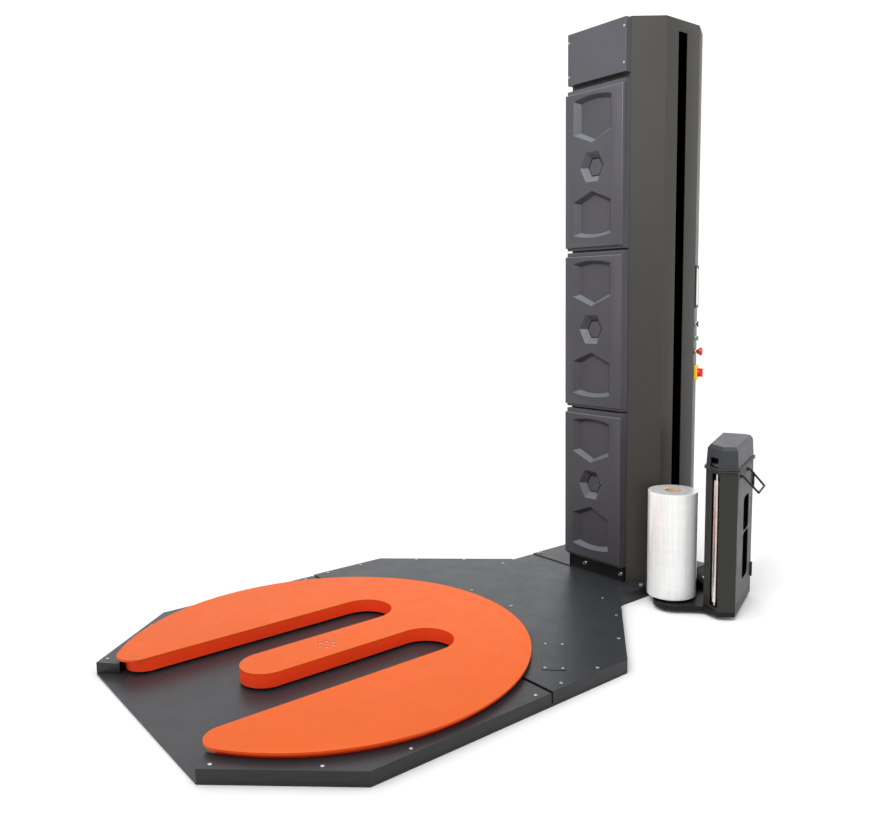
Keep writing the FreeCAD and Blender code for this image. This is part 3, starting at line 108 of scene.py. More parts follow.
def add_outline(name, corners):
    """A flat face: a circle with as many corners as the outline, pulled to its places."""
    deselect()
    bpy.ops.mesh.primitive_circle_add(vertices=len(corners), radius=1, fill_type="NGON")
    piece = settle(name)
    for vertex, corner in zip(piece.data.vertices, corners):
        vertex.co = corner
    return piece


def edit_all(piece):
    pick(piece)
    bpy.ops.object.mode_set(mode="EDIT")
    bpy.ops.mesh.select_all(action="SELECT")


def face_outwards(piece):
    edit_all(piece)
    bpy.ops.mesh.normals_make_consistent(inside=False)
    deselect()


def extrude(piece, step):
    """Pushes a flat face along step into a solid."""
    edit_all(piece)
    bpy.ops.mesh.extrude_region_move(TRANSFORM_OT_translate={"value": Vector(step)})
    deselect()
    face_outwards(piece)
    return piece


def select_faces(piece, test):
    """Selects in edit mode the faces whose centre and normal pass the test."""
    edit_all(piece)
    bpy.ops.mesh.select_mode(type="FACE")
    bpy.ops.mesh.select_all(action="DESELECT")
    bpy.ops.object.mode_set(mode="OBJECT")
    for face in piece.data.polygons:
        face.select = test(face.center, face.normal)
    bpy.ops.object.mode_set(mode="EDIT")


def select_edges(piece, test):
    """Selects in edit mode the edges whose two ends pass the test."""
    edit_all(piece)
    bpy.ops.mesh.select_mode(type="EDGE")
    bpy.ops.mesh.select_all(action="DESELECT")
    bpy.ops.object.mode_set(mode="OBJECT")
    places = piece.data.vertices
    for edge in piece.data.edges:
        a, b = edge.vertices
        edge.select = test(places[a].co, places[b].co)
    bpy.ops.object.mode_set(mode="EDIT")


def modify(piece, kind, **settings):
    """Adds a modifier, sets it and applies it."""
    pick(piece)
    bpy.ops.object.modifier_add(type=kind)
    modifier = piece.modifiers[-1]
    for key, value in settings.items():
        setattr(modifier, key, value)
    bpy.ops.object.modifier_apply(modifier=modifier.name)
    return piece


def cut(piece, tool):
    """Cuts the tool out of the piece and removes it."""
    modify(piece, "BOOLEAN", operation="DIFFERENCE", solver="EXACT", object=tool)
    bpy.data.objects.remove(tool)


def merge(piece, other):
    """Makes one skin of two overlapping shapes."""
    modify(piece, "BOOLEAN", operation="UNION", solver="EXACT", object=other)
    bpy.data.objects.remove(other)
    return piece


def twin(piece, name):
    """A copy with its own mesh, shown even where the first is hidden."""
    copy = piece.copy()
    copy.data = piece.data.copy()
    copy.name = name
    copy.data.name = name
    bpy.context.scene.collection.objects.link(copy)
    copy.hide_render = copy.hide_viewport = False
    copy.hide_set(False)
    return copy


def round_edges(piece, width, segments=2, angle=30):
    """Rounds every edge sharper than the angle."""
    modify(piece, "BEVEL", width=width, segments=segments, limit_method="ANGLE",
           angle_limit=math.radians(angle), miter_outer="MITER_ARC")


def shade(piece, angle=32):
    """Smooth shading within the angle, with flat faces kept flat."""
    pick(piece)
    bpy.ops.object.shade_smooth_by_angle(angle=math.radians(angle))
    modify(piece, "WEIGHTED_NORMAL", keep_sharp=True)


def tidy(piece, flat=0.4):
    """Joins loose triangles and takes out the edges that lie inside flat faces."""
    edit_all(piece)
    bpy.ops.mesh.remove_doubles(threshold=1e-5)
    bpy.ops.mesh.select_all(action="SELECT")
    bpy.ops.mesh.dissolve_limited(angle_limit=math.radians(flat))
    deselect()
    return piece


def body_of(node):
    """The body of the record that a node belongs to."""
    for body, members in frame["record"]["behaviour"]["bodies"].items():
        if node in members:
            return body
    return None


def dress(piece, material, node):
    """Gives a piece its material and lets it stand for its CAD node, on that node's body."""
    piece.data.materials.clear()
    piece.data.materials.append(material)
    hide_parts(node)
    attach(piece, body_of(node))


def copied(node, name):
    """A free copy of a CAD node."""
    piece = twin(NODES[node], name)
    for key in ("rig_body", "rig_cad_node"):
        if key in piece:
            del piece[key]
    piece.parent = None
    return piece


def softened(node, width, material, segments=2):
    """A copy of a CAD node with its sharp edges rounded, as a press or a mould leaves them."""
    piece = tidy(copied(node, node + "_finished"))
    round_edges(piece, width, segments)
    shade(piece)
    dress(piece, material, node)


# ---------------------------------------------------------------- materials
# Places of the colour sockets on a mix node.
MIX_FACTOR, MIX_FIRST, MIX_SECOND, MIX_COLOUR = 0, 6, 7, 2


def new_material(name):
    material = bpy.data.materials.new(name)
    material.use_nodes = True
    tree = material.node_tree
    shader = tree.nodes["Principled BSDF"]
    return material, tree, shader


def link(tree, source, output, target, socket):
    tree.links.new(source.outputs[output], target.inputs[socket])


def add_node(tree, kind, **values):
    """Adds a node; a value goes to the socket or, where there is none, the setting of its name."""
    node = tree.nodes.new(kind)
    for key, value in values.items():
        if key in node.inputs:
            node.inputs[key].default_value = value
        else:
            setattr(node, key, value)
    return node


def object_place(tree, scale=(1, 1, 1), turn=(0, 0, 0), centre=(0, 0, 0)):
    """Object coordinates, moved to a centre, turned and scaled."""
    coordinates = add_node(tree, "ShaderNodeTexCoord")
    mapping = add_node(tree, "ShaderNodeMapping")
    mapping.inputs["Location"].default_value = [-c * s for c, s in zip(centre, scale)]
    mapping.inputs["Rotation"].default_value = turn
    mapping.inputs["Scale"].default_value = scale
    link(tree, coordinates, "Object", mapping, "Vector")
    return mapping


def noise(tree, place, scale, detail=3.0, rough=0.5):
    node = add_node(tree, "ShaderNodeTexNoise", Scale=scale, Detail=detail, Roughness=rough)
    link(tree, place, "Vector", node, "Vector")
    return node


def spread(tree, source, output, low, high, to_low=0.0, to_high=1.0):
    """Maps a value from one span to another."""
    node = add_node(tree, "ShaderNodeMapRange")
    node.inputs["From Min"].default_value = low
    node.inputs["From Max"].default_value = high
    node.inputs["To Min"].default_value = to_low
    node.inputs["To Max"].default_value = to_high
    link(tree, source, output, node, "Value")
    return node


def mix_colour(tree, share, first, second):
    """Mixes two colours, each a colour or an earlier mix, by a share from spread."""
    node = add_node(tree, "ShaderNodeMix", data_type="RGBA")
    tree.links.new(share.outputs["Result"], node.inputs[MIX_FACTOR])
    for index, colour in ((MIX_FIRST, first), (MIX_SECOND, second)):
        if isinstance(colour, tuple):
            node.inputs[index].default_value = (*colour, 1.0)
        else:
            tree.links.new(colour.outputs[MIX_COLOUR], node.inputs[index])
    return node


def mottled(tree, texture, first, second, low=0.3, high=0.7):
    """Goes from one colour to the other with the texture."""
    return mix_colour(tree, spread(tree, texture, "Fac", low, high), first, second)


def shades(colour, darker, lighter):
    return tuple(c * darker for c in colour), tuple(min(1.0, c * lighter) for c in colour)


def painted_top_light_share(tree, low, high):
    """Share of the painted top light kept for faces that look up, by the height of their normal.
    """
    geometry = add_node(tree, "ShaderNodeNewGeometry")
    axis = add_node(tree, "ShaderNodeSeparateXYZ")
    link(tree, geometry, "Normal", axis, "Vector")
    return spread(tree, axis, "Z", low, high)


def rubbed_edges(tree, base, colour, paler, worn, low, high):
    """Lays a paler tone over sharp outer edges."""
    geometry = add_node(tree, "ShaderNodeNewGeometry")
    rubbed = spread(tree, geometry, "Pointiness", low, high, 0.0, worn)
    return mix_colour(tree, rubbed, base, shades(colour, 1.0, paler)[1])


def set_colour(tree, shader, base):
    tree.links.new(base.outputs[MIX_COLOUR], shader.inputs["Base Color"])


def set_gloss(tree, shader, texture, least, most, low=0.3, high=0.7):
    """Lets the roughness go from least to most with the texture."""
    link(tree, spread(tree, texture, "Fac", low, high, least, most), "Result",
         shader, "Roughness")


def add_bump(tree, shader, layers):
    """Stacks bumps: each layer is a node, its output, a strength and a depth in metres."""
    below = None
    for source, output, strength, depth in layers:
        bump = add_node(tree, "ShaderNodeBump", Strength=strength, Distance=depth)
        link(tree, source, output, bump, "Height")
        if below:
            link(tree, below, "Normal", bump, "Normal")
        below = bump
    link(tree, below, "Normal", shader, "Normal")


def coated_steel(name, colour, rough=0.42, top=None, worn=0.25, peel=0.35, shine=0.25):
    """Powder-coated sheet: fine orange peel, faint clouding, rubbed edges.

    top is the lighter tone of faces that look up: painted light and sheen from above, mottled in
    faint patches.
    """
    material, tree, shader = new_material(name)
    place = object_place(tree)
    base = mottled(tree, noise(tree, place, 2.3, 5.0, 0.6), *shades(colour, 0.95, 1.05))
    # Faces that look up get the top tone: painted light and sheen from above, mottled in faint
    # patches.
    if top:
        top_patches = noise(tree, place, 7.0, 8.0, 0.65)
        dusty_top_light = mottled(tree, top_patches, *shades(top, 0.965, 1.035), low=0.35)
        base = mix_colour(tree, painted_top_light_share(tree, 0.6, 0.98), base, dusty_top_light)
    set_colour(tree, shader, rubbed_edges(tree, base, colour, 2.2, worn, 0.53, 0.62))
    smear = noise(tree, place, 11.0, 6.0, 0.7)
    set_gloss(tree, shader, smear, rough - 0.06, rough + 0.08, 0.25, 0.75)
    orange_peel = noise(tree, place, 620.0, 2.0, 0.5)
    waviness = noise(tree, place, 9.0, 2.0, 0.4)
    add_bump(tree, shader, [(waviness, "Fac", 0.06, 0.004), (orange_peel, "Fac", peel, 0.0002)])
    shader.inputs["Specular IOR Level"].default_value = shine
    return material


def moulded_plastic(name, colour, rough=0.5, grain=0.5, top=None, rise=(0.1, 0.7)):
    """Injection-moulded plastic with a fine spark-eroded grain.

    top is the paler tone of faces that look up, painted light from above; rise is the span of
    normals it comes in over.
    """
    material, tree, shader = new_material(name)
    place = object_place(tree)
    base = mottled(tree, noise(tree, place, 4.0, 4.0, 0.55), *shades(colour, 0.92, 1.08))
    # Painted light from above: faces that look up get the paler top tone.
    if top:
        base = mix_colour(tree, painted_top_light_share(tree, *rise), base, top)
    set_colour(tree, shader, rubbed_edges(tree, base, colour, 1.9, 0.3, 0.52, 0.6))
    set_gloss(tree, shader, noise(tree, place, 16.0, 5.0, 0.6), rough - 0.05, rough + 0.06)
    cells = add_node(tree, "ShaderNodeTexVoronoi", Scale=1400.0)
    link(tree, place, "Vector", cells, "Vector")
    add_bump(tree, shader, [(cells, "Distance", grain, 0.00015)])
    shader.inputs["Specular IOR Level"].default_value = 0.3
    return material


def bare_metal(name, colour, rough, along):
    """Bare or plated metal, brushed along the axis with the greatest value."""
    material, tree, shader = new_material(name)
    lines = noise(tree, object_place(tree, along), 60.0, 4.0, 0.7)
    clouds = noise(tree, object_place(tree), 25.0, 3.0, 0.5)
    set_colour(tree, shader, mottled(tree, clouds, *shades(colour, 0.82, 1.1)))
    set_gloss(tree, shader, lines, rough - 0.08, rough + 0.1)
    add_bump(tree, shader, [(lines, "Fac", 0.25, 0.0001)])
    shader.inputs["Metallic"].default_value = 1.0
    return material


def rubber(name, colour, rough=0.75):
    """Soft, slightly bloomed rubber with fine pores."""
    material, tree, shader = new_material(name)
    place = object_place(tree)
    bloom = noise(tree, place, 30.0, 5.0, 0.6)
    set_colour(tree, shader, mottled(tree, bloom, *shades(colour, 0.9, 1.12)))
    set_gloss(tree, shader, bloom, rough - 0.08, rough + 0.08)
    pores = noise(tree, place, 900.0, 3.0, 0.6)
    add_bump(tree, shader, [(pores, "Fac", 0.4, 0.0002)])
    return material


def wound_film(name, centre):
    """Stretch film in hundreds of clear layers: milky, glossy, banded and blistered."""
    material, tree, shader = new_material(name)
    bands = noise(tree, object_place(tree, (1.2, 1.2, 9), centre=centre), 5.0, 5.0, 0.6)
    streaks = noise(tree, object_place(tree, (26, 26, 1.1), centre=centre), 3.0, 4.0, 0.6)
    cloudy = mottled(tree, bands, (0.66, 0.675, 0.67), (0.74, 0.745, 0.73), high=0.72)
    streak_share = spread(tree, streaks, "Fac", 0.38, 0.7, 0.0, 0.6)
    set_colour(tree, shader, mix_colour(tree, streak_share, cloudy, (0.83, 0.83, 0.82)))
    blisters = add_node(tree, "ShaderNodeTexVoronoi", feature="SMOOTH_F1", Scale=52.0)
    flattened = object_place(tree, (1, 1, 0.8), centre=centre)
    link(tree, flattened, "Vector", blisters, "Vector")
    where = noise(tree, object_place(tree, centre=centre), 7.0, 2.0, 0.5)
    raised = add_node(tree, "ShaderNodeMath", operation="MULTIPLY")
    link(tree, blisters, "Distance", raised, 0)
    link(tree, spread(tree, where, "Fac", 0.5, 0.66), "Result", raised, 1)
    wrinkles = noise(tree, object_place(tree, (9, 9, 55), centre=centre), 2.4, 4.0, 0.7)
    add_bump(tree, shader, [(bands, "Fac", 0.10, 0.002), (streaks, "Fac", 0.14, 0.002),
                            (wrinkles, "Fac", 0.16, 0.0012), (raised, "Value", 0.9, 0.0025)])
    set_gloss(tree, shader, streaks, 0.12, 0.3)
    shader.inputs["Subsurface Weight"].default_value = 0.35
    shader.inputs["Subsurface Radius"].default_value = (0.02, 0.02, 0.02)
    shader.inputs["Subsurface Scale"].default_value = 0.5
    shader.inputs["Coat Weight"].default_value = 0.8
    shader.inputs["Coat Roughness"].default_value = 0.06
    return material


def wound_card(name, centre):
    """Kraft tube with long fibres."""
    material, tree, shader = new_material(name)
    place = object_place(tree, (1, 1, 5), turn=(0.3, 0, 0), centre=centre)
    fibres = noise(tree, place, 160.0, 5.0, 0.7)
    set_colour(tree, shader, mottled(tree, fibres, (0.46, 0.32, 0.20), (0.66, 0.50, 0.35)))
    shader.inputs["Roughness"].default_value = 0.85
    add_bump(tree, shader, [(fibres, "Fac", 0.5, 0.0004)])
    return material


def bristle(name):
    """Dense black bristles that lie across the slot."""
    material, tree, shader = new_material(name)
    rows = noise(tree, object_place(tree, (1, 1, 60)), 28.0, 4.0, 0.7)
    set_colour(tree, shader, mottled(tree, rows, (0.004, 0.004, 0.004), (0.035, 0.035, 0.036),
                                     0.35, 0.65))
    shader.inputs["Roughness"].default_value = 0.65
    add_bump(tree, shader, [(rows, "Fac", 0.9, 0.002)])
    return material


def screen_glass(name):
    """Dark cover glass with smudges."""
    material, tree, shader = new_material(name)
    smudge = noise(tree, object_place(tree), 35.0, 5.0, 0.6)
    set_colour(tree, shader, mottled(tree, smudge, (0.008, 0.011, 0.016), (0.014, 0.019, 0.026)))
    set_gloss(tree, shader, smudge, 0.04, 0.14)
    shader.inputs["Coat Weight"].default_value = 1.0
    return material


film_low, film_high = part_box("film_roll")
ROLL_CENTRE = tuple((film_low + film_high) / 2)

# The deck's and the table's top tones are painted light and sheen from above, brighter than their
# sides.
deck_coat = coated_steel("deck_coat", (0.010, 0.0105, 0.0105), 0.36,
                         top=(0.029, 0.032, 0.037), shine=0.40)
table_coat = coated_steel("table_coat", (0.72, 0.075, 0.006),
                          top=(0.76, 0.112, 0.006), worn=0.12, shine=0.15)
# A brighter orange than the table top's: painted light on the shaded slot walls of the frame.
lit_frame_coat = coated_steel("table_frame_coat", (0.92, 0.055, 0.010), worn=0.1, shine=0.2)
mast_coat = coated_steel("mast_coat", (0.035, 0.033, 0.029), 0.36, shine=0.22)
black_coat = coated_steel("black_coat", (0.006, 0.006, 0.006), 0.38, shine=0.18)
carriage_coat = coated_steel("carriage_coat", (0.022, 0.022, 0.021), shine=0.2)
motor_enamel = coated_steel("motor_enamel", (0.05, 0.09, 0.14), 0.3, peel=0.15)
# The panel's and the cap's top tones are painted light from above.
panel_plastic = moulded_plastic("panel_plastic", (0.040, 0.039, 0.045), 0.40,
                                top=(0.105, 0.115, 0.130))
cap_plastic = moulded_plastic("cap_plastic", (0.026, 0.028, 0.033), 0.44,
                              top=(0.060, 0.063, 0.070), rise=(0.45, 0.9))
black_plastic = moulded_plastic("black_plastic", (0.012, 0.012, 0.013), 0.42)
nylon = moulded_plastic("nylon", (0.72, 0.68, 0.56), 0.4)
yellow_plastic = moulded_plastic("yellow_plastic", (0.80, 0.44, 0.01), 0.32, grain=0.1)
red_plastic = moulded_plastic("red_plastic", (0.50, 0.008, 0.008), 0.28, grain=0.1)
green_plastic = moulded_plastic("green_plastic", (0.02, 0.28, 0.06), 0.3, grain=0.1)
grey_housing = moulded_plastic("grey_housing", (0.50, 0.51, 0.50))
plated_steel = bare_metal("plated_steel", (0.62, 0.63, 0.64), 0.28, (8, 8, 8))
ground_steel = bare_metal("ground_steel", (0.70, 0.64, 0.60), 0.22, (1, 1, 60))
oiled_steel = bare_metal("oiled_steel", (0.16, 0.155, 0.15), 0.35, (8, 8, 8))
black_rubber = rubber("black_rubber", (0.02, 0.02, 0.02))
roller_rubber = rubber("roller_rubber", (0.66, 0.64, 0.55), 0.5)
film_clear = wound_film("film_clear", ROLL_CENTRE)
core_card = wound_card("core_card", ROLL_CENTRE)
brush_fibre = bristle("brush_fibre")
glass = screen_glass("screen_glass")

CAD_FINISH = {
    "centre_post": plated_steel, "table_hub": plated_steel, "centre_bolts": plated_steel,
    "wheel_forks": black_coat, "drive_chain": oiled_steel, "drive_sprocket": oiled_steel,
    "drive_motor": motor_enamel, "guide_rails": plated_steel, "slot_brushes": brush_fibre,
    "lift_belt": black_rubber, "lift_drive": motor_enamel, "roller_motor": motor_enamel,
    "film_spindle": black_plastic, "control_unit": grey_housing, "service_hinges": plated_steel,
    "cable_gland": black_plastic, "lift_pulley_lower": plated_steel,
    "lift_pulley_upper": plated_steel, "stretch_roller_slow": roller_rubber,
    "stretch_roller_fast": roller_rubber, "mast_fasteners": plated_steel,
    "cover_screws": plated_steel, "steel_roller": ground_steel, "touch_screen": black_plastic,
    "control_bezels": yellow_plastic, "emergency_stop": red_plastic, "main_switch": red_plastic,
    "start_button": black_plastic, "reset_button": green_plastic, "door_handle": black_plastic,
    "film_core": core_card,
}
WHEELS = 6
for number in range(1, WHEELS + 1):
    CAD_FINISH["support_wheel_%d" % number] = nylon
for node, material in CAD_FINISH.items():
    NODES[node].data.materials.clear()
    NODES[node].data.materials.append(material)

# ---------------------------------------------------------------- folded sheet covers
MM = 0.001
for node, width, material, segments in (
        ("floor_plate", 1.0, deck_coat, 2),
        ("wing_right", 1.6, deck_coat, 2),
        ("wing_left", 1.6, deck_coat, 2),
        ("rear_deck", 1.6, deck_coat, 2),
        ("access_hatch", 0.6, deck_coat, 2),
        ("mast_base", 1.2, deck_coat, 2),
        ("mast_foot", 1.0, deck_coat, 2),
        ("table_top", 1.3, table_coat, 3),
        ("table_frame", 1.0, lit_frame_coat, 2),
        ("mast_body", 2.2, mast_coat, 3),
        ("mast_cap", 1.5, mast_coat, 2),
        ("mast_plinth", 1.0, black_coat, 2),
        ("lift_trolley", 1.0, black_coat, 2),
        ("tower_housing", 1.2, carriage_coat, 2),
        ("threading_door", 0.8, carriage_coat, 2),
        ("carriage_tray", 2.0, black_coat, 3),
        ("film_roll", 2.5, film_clear, 3)):
    softened(node, width * MM, material, segments)


def portion(node, name, material, test):
    """A copy of the faces of a CAD node that pass the test, as a piece of its own."""
    piece = copied(node, name)
    select_faces(piece, lambda centre, normal: not test(centre))
    bpy.ops.mesh.delete(type="FACE")
    deselect()
    tidy(piece)
    round_edges(piece, 0.6 * MM)
    shade(piece)
    dress(piece, material, node)


# ---------------------------------------------------------------- controls and rear door
PLATE_MARGIN = 0.03     # from the top of the main switch to clear above its plate
LOCK_FROM_EDGE = 0.045  # the lock lies in this strip along the door's free edge
LOCK_HALF = 0.014
LEAF_DEPTH = 0.0095     # from the door's inner lip to just under the face of the leaf

plate_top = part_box("main_switch")[1].z + PLATE_MARGIN
portion("control_bezels", "switch_plate", yellow_plastic, lambda centre: centre.z < plate_top)
portion("control_bezels", "button_collars", plated_steel, lambda centre: centre.z > plate_top)

door_low, door_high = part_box("service_door")
door_middle = (door_low.z + door_high.z) / 2


def on_lock(centre):
    return (centre.x > door_high.x - LOCK_FROM_EDGE and abs(centre.z - door_middle) < LOCK_HALF
            and centre.y > door_low.y + LEAF_DEPTH)


portion("service_door", "door_leaf", mast_coat, lambda centre: not on_lock(centre))
portion("service_door", "door_lock", plated_steel, on_lock)

# The mast's corner face with the controls: the way it looks and the way along it.
FACE_OUT = Vector((0.127, 0.072, 0)).normalized()
FACE_ALONG = Vector((0.072, -0.127, 0)).normalized()
PANE_THICK = 0.0010
PANE_SINK = 0.0013       # its foot lies this far under the front of the bezel
PANE_SIDE_RIM = 0.0125
PANE_END_RIM = 0.0145


def screen_pane():
    """Cover glass lying in the recess of the touch screen's bezel."""
    low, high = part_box("touch_screen")
    places = [Vector(vertex.co) for vertex in NODES["touch_screen"].data.vertices]
    outer = max(place.dot(FACE_OUT) for place in places)
    along = [place.dot(FACE_ALONG) for place in places]
    foot = (low + high) / 2
    foot += FACE_OUT * (outer - PANE_SINK - foot.dot(FACE_OUT))
    foot += FACE_ALONG * ((min(along) + max(along)) / 2 - foot.dot(FACE_ALONG))
    side = FACE_ALONG * ((max(along) - min(along)) / 2 - PANE_SIDE_RIM)
    rise = Vector((0, 0, (high.z - low.z) / 2 - PANE_END_RIM))
    corners = [foot - side - rise, foot + side - rise, foot + side + rise, foot - side + rise]
    pane = extrude(add_outline("screen_pane", corners), FACE_OUT * PANE_THICK)
    round_edges(pane, 0.4 * MM)
    shade(pane)
    pane.data.materials.append(glass)
    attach(pane, "base")


screen_pane()

# ---------------------------------------------------------------- front panels
FLANGE_DEPTH = 0.018     # the raised face stands this far in front of the flange
FLANGE_INSET = 0.0015    # the flange is this much narrower on each side
FLANGE_OVERLAP = 0.002
FOOT_MARGIN, HEAD_MARGIN = 0.012, 0.020   # bare flange below and above the raised face
POCKET_DEPTH = 0.026
POCKET_FLOOR = (0.76, 0.85)   # an arched pocket's floor, as a share of its mouth
HEXAGON_HALF = (0.077, 0.071)
HEXAGON_FLOOR = 0.60
GROOVE_DEPTH = 0.010          # round the plate, below the floor of the hexagon
PLATE_SHARE = 0.53
PLATE_PROUD = 0.001
PLATE_THICK = 0.006
POCKETS_ASIDE, POCKETS_UP = -0.006, 0.008   # from the middle of the panel
TOOL_LEAD = 0.001             # a cutting tool starts this far in front of the face


def pocket_tool(outline, centre, shrink, face_y, depth):
    """A tapered plug: its outline at the face, drawn in to a smaller one at the bottom."""
    corners = [(centre.x + x, face_y - TOOL_LEAD, centre.z + z) for x, z in outline]
    tool = extrude(add_outline("pocket_tool", corners), (0, depth + TOOL_LEAD, 0))
    heights = [z for _, z in outline]
    middle_x = sum(x for x, _ in outline) / len(outline) + centre.x
    middle_z = (max(heights) + min(heights)) / 2 + centre.z
    for vertex in tool.data.vertices:
        if vertex.co.y > face_y:
            vertex.co.x = middle_x + (vertex.co.x - middle_x) * shrink[0]
            vertex.co.z = middle_z + (vertex.co.z - middle_z) * shrink[1]
    return tool


def arched_outline(sign):
    """A pocket with a low arch at its far end, straight sides and a point towards the middle."""
    half, far, shoulder, near, crown, steps = 0.120, 0.319, 0.160, 0.112, 0.014, 8
    arch = []
    for i in range(steps + 1):
        x = half - 2 * half * i / steps
        arch.append((x, sign * (far + crown * (1 - (x / half) ** 2))))
    return arch + [(-half, sign * shoulder), (0, sign * near), (half, sign * shoulder)]


def front_panel(node):
    """A moulded panel: flange, raised face, two arched pockets and a hexagon with its plate."""
    low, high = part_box(node)
    step_y = low.y + FLANGE_DEPTH
    flange = add_block(node + "_moulded",
                       (low.x + FLANGE_INSET, step_y - FLANGE_OVERLAP, low.z),
                       (high.x - FLANGE_INSET, high.y, high.z))
    raised = add_block("raised", (low.x, low.y, low.z + FOOT_MARGIN),
                       (high.x, step_y, high.z - HEAD_MARGIN))
    select_edges(raised, lambda a, b: max(a.y, b.y) < (low.y + step_y) / 2)
    bpy.ops.mesh.bevel(offset=0.006, segments=4, affect="EDGES")
    deselect()
    panel = merge(flange, raised)
    centre = Vector(((low.x + high.x) / 2 + POCKETS_ASIDE, 0, (low.z + high.z) / 2 + POCKETS_UP))
    for sign in (1, -1):
        cut(panel, pocket_tool(arched_outline(sign), centre, POCKET_FLOOR, low.y, POCKET_DEPTH))
    half_w, half_h = HEXAGON_HALF
    hexagon = [(half_w, 0), (half_w / 2, half_h), (-half_w / 2, half_h), (-half_w, 0),
               (-half_w / 2, -half_h), (half_w / 2, -half_h)]
    cut(panel, pocket_tool(hexagon, centre, (HEXAGON_FLOOR, HEXAGON_FLOOR), low.y, POCKET_DEPTH))
    floor_outline = [(x * HEXAGON_FLOOR, z * HEXAGON_FLOOR) for x, z in hexagon]
    cut(panel, pocket_tool(floor_outline, centre, (1, 1), low.y, POCKET_DEPTH + GROOVE_DEPTH))
    tidy(panel, 0.1)
    round_edges(panel, 2.2 * MM, 3, 12)
    shade(panel, 30)
    dress(panel, panel_plastic, node)
    badge_plate(node, hexagon, centre, low.y + POCKET_DEPTH + PLATE_PROUD)


def badge_plate(node, hexagon, centre, plate_y):
    """The plain six-sided plate in the hexagon, with a dimple in its middle."""
    corners = [(centre.x + x * PLATE_SHARE, plate_y, centre.z + z * PLATE_SHARE)
               for x, z in hexagon]
    plate = extrude(add_outline(node + "_badge_plate", corners), (0, PLATE_THICK, 0))
    dimple = add_drum("dimple", 0.004, (centre.x, plate_y - 0.002, centre.z),
                      (centre.x, plate_y + 0.002, centre.z), 24)
    cut(plate, dimple)
    round_edges(plate, 0.8 * MM)
    shade(plate)
    plate.data.materials.append(panel_plastic)
    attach(plate, "base")


for node in ("front_panel_lower", "front_panel_middle", "front_panel_upper"):
    front_panel(node)

softened("head_panel", 2.5 * MM, panel_plastic, 3)

# ---------------------------------------------------------------- tower cap
SAME_TURN = 0.03               # rim points closer than this, in radians, count as one
GROOVE_SPAN = (0.0042, 0.0078)  # heights of the groove over the foot of the flange
GROOVE_FLOOR = 0.975           # its floor, as a share of the flange's outline


def flange_outline(cap, low, centre):
    """The outermost corners of the flange round the centre, in the order of their turn."""
    rim = sorted({(round(v.co.x, 5), round(v.co.y, 5)) for v in cap.data.vertices
                  if v.co.z < low.z + 1e-4})
    outline = []
    for turn, x, y in sorted((math.atan2(y - centre.y, x - centre.x), x, y) for x, y in rim):
        far = Vector((x, y, 0)) - centre
        if outline and abs(turn - outline[-1][0]) < SAME_TURN:
            if far.length > outline[-1][1].length:
                outline[-1] = (turn, far)
        else:
            outline.append((turn, far))
    return [far for _, far in outline]


def lipped_cap():
    """The tower's moulded cover: a groove round its flange leaves two thin lips."""
    low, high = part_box("tower_cap")
    cap = tidy(copied("tower_cap", "tower_cap_finished"))
    centre = Vector(((low.x + high.x) / 2, (low.y + high.y) / 2, 0))
    flange = flange_outline(cap, low, centre)

    def slab(name, share, bottom, top):
        corners = [centre + far * share + Vector((0, 0, bottom)) for far in flange]
        return extrude(add_outline(name, corners), (0, 0, top - bottom))

    groove = slab("groove", 1.05, low.z + GROOVE_SPAN[0], low.z + GROOVE_SPAN[1])
    cut(groove, slab("groove_core", GROOVE_FLOOR, low.z, high.z))
    cut(cap, groove)
    tidy(cap)
    round_edges(cap, 1.4 * MM, 3, 20)
    shade(cap)
    dress(cap, cap_plastic, "tower_cap")


lipped_cap()

# ---------------------------------------------------------------- stage, light and camera
deselect()
bpy.ops.mesh.primitive_plane_add(size=60, location=(0, 0, 0))
floor = settle("floor")
floor_material, _, floor_shader = new_material("pale_floor")
floor_shader.inputs["Base Color"].default_value = (0.93, 0.93, 0.93, 1)
floor_shader.inputs["Roughness"].default_value = 0.9
floor_shader.inputs["Specular IOR Level"].default_value = 0.1
floor.data.materials.append(floor_material)

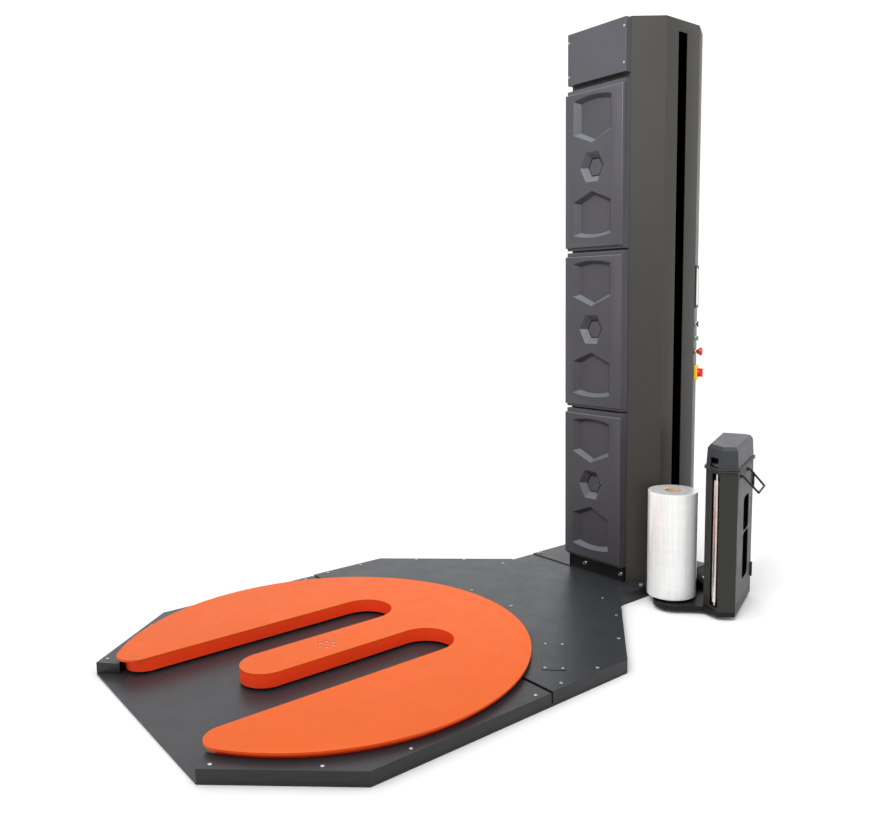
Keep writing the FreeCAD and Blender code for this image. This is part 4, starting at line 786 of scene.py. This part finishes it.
world = bpy.data.worlds.new("studio")
bpy.context.scene.world = world
world.use_nodes = True
studio = world.node_tree.nodes["Background"]
studio.inputs["Color"].default_value = (1, 1, 1, 1)
studio.inputs["Strength"].default_value = 1.1
bpy.context.scene.view_settings.view_transform = "Standard"


def area_light(name, place, target, side, power, spread_angle=180):
    """A square soft light at a place, turned towards a target."""
    deselect()
    bpy.ops.object.light_add(type="AREA", location=place)
    lamp = bpy.context.object
    lamp.name = name
    lamp.data.shape = "RECTANGLE"
    lamp.data.size = lamp.data.size_y = side
    lamp.data.energy = power
    lamp.data.spread = math.radians(spread_angle)
    lamp.rotation_euler = (Vector(target) - Vector(place)).to_track_quat("-Z", "Y").to_euler()


area_light("overhead", (0.2, -0.2, 4.6), (0.2, 0.4, 0), 4.0, 36)
area_light("high_key", (1.6, -1.6, 4.0), (0.3, 1.5, 2.6), 1.4, 46, 80)

CAMERA_PLACE = Vector((2.8864, -1.6315, 1.4616))
CAMERA_AZIMUTH, CAMERA_PITCH, CAMERA_ROLL = (math.radians(a) for a in (50.861, 7.176, -0.823))
SENSOR_WIDTH, LENS = 36, 34.174
SHIFT_X, SHIFT_Y = -0.0179, -0.0074


def place_camera():
    """Stands the camera at its place, looking down along its azimuth and pitch, then rolled."""
    level = math.cos(CAMERA_PITCH)
    back = Vector((math.sin(CAMERA_AZIMUTH) * level, -math.cos(CAMERA_AZIMUTH) * level,
                   math.sin(CAMERA_PITCH)))
    right = (-back).cross(Vector((0, 0, 1))).normalized()
    up = right.cross(-back)
    rolled_right = right * math.cos(CAMERA_ROLL) + up * math.sin(CAMERA_ROLL)
    rolled_up = up * math.cos(CAMERA_ROLL) - right * math.sin(CAMERA_ROLL)
    lens = bpy.data.cameras.new("camera")
    lens.sensor_width, lens.lens = SENSOR_WIDTH, LENS
    lens.shift_x, lens.shift_y = SHIFT_X, SHIFT_Y
    lens.clip_end = 100
    camera = bpy.data.objects.new("camera", lens)
    bpy.context.scene.collection.objects.link(camera)
    rows = zip(rolled_right, rolled_up, back, CAMERA_PLACE)
    camera.matrix_world = Matrix([*rows, (0, 0, 0, 1)])
    bpy.context.scene.camera = camera


place_camera()
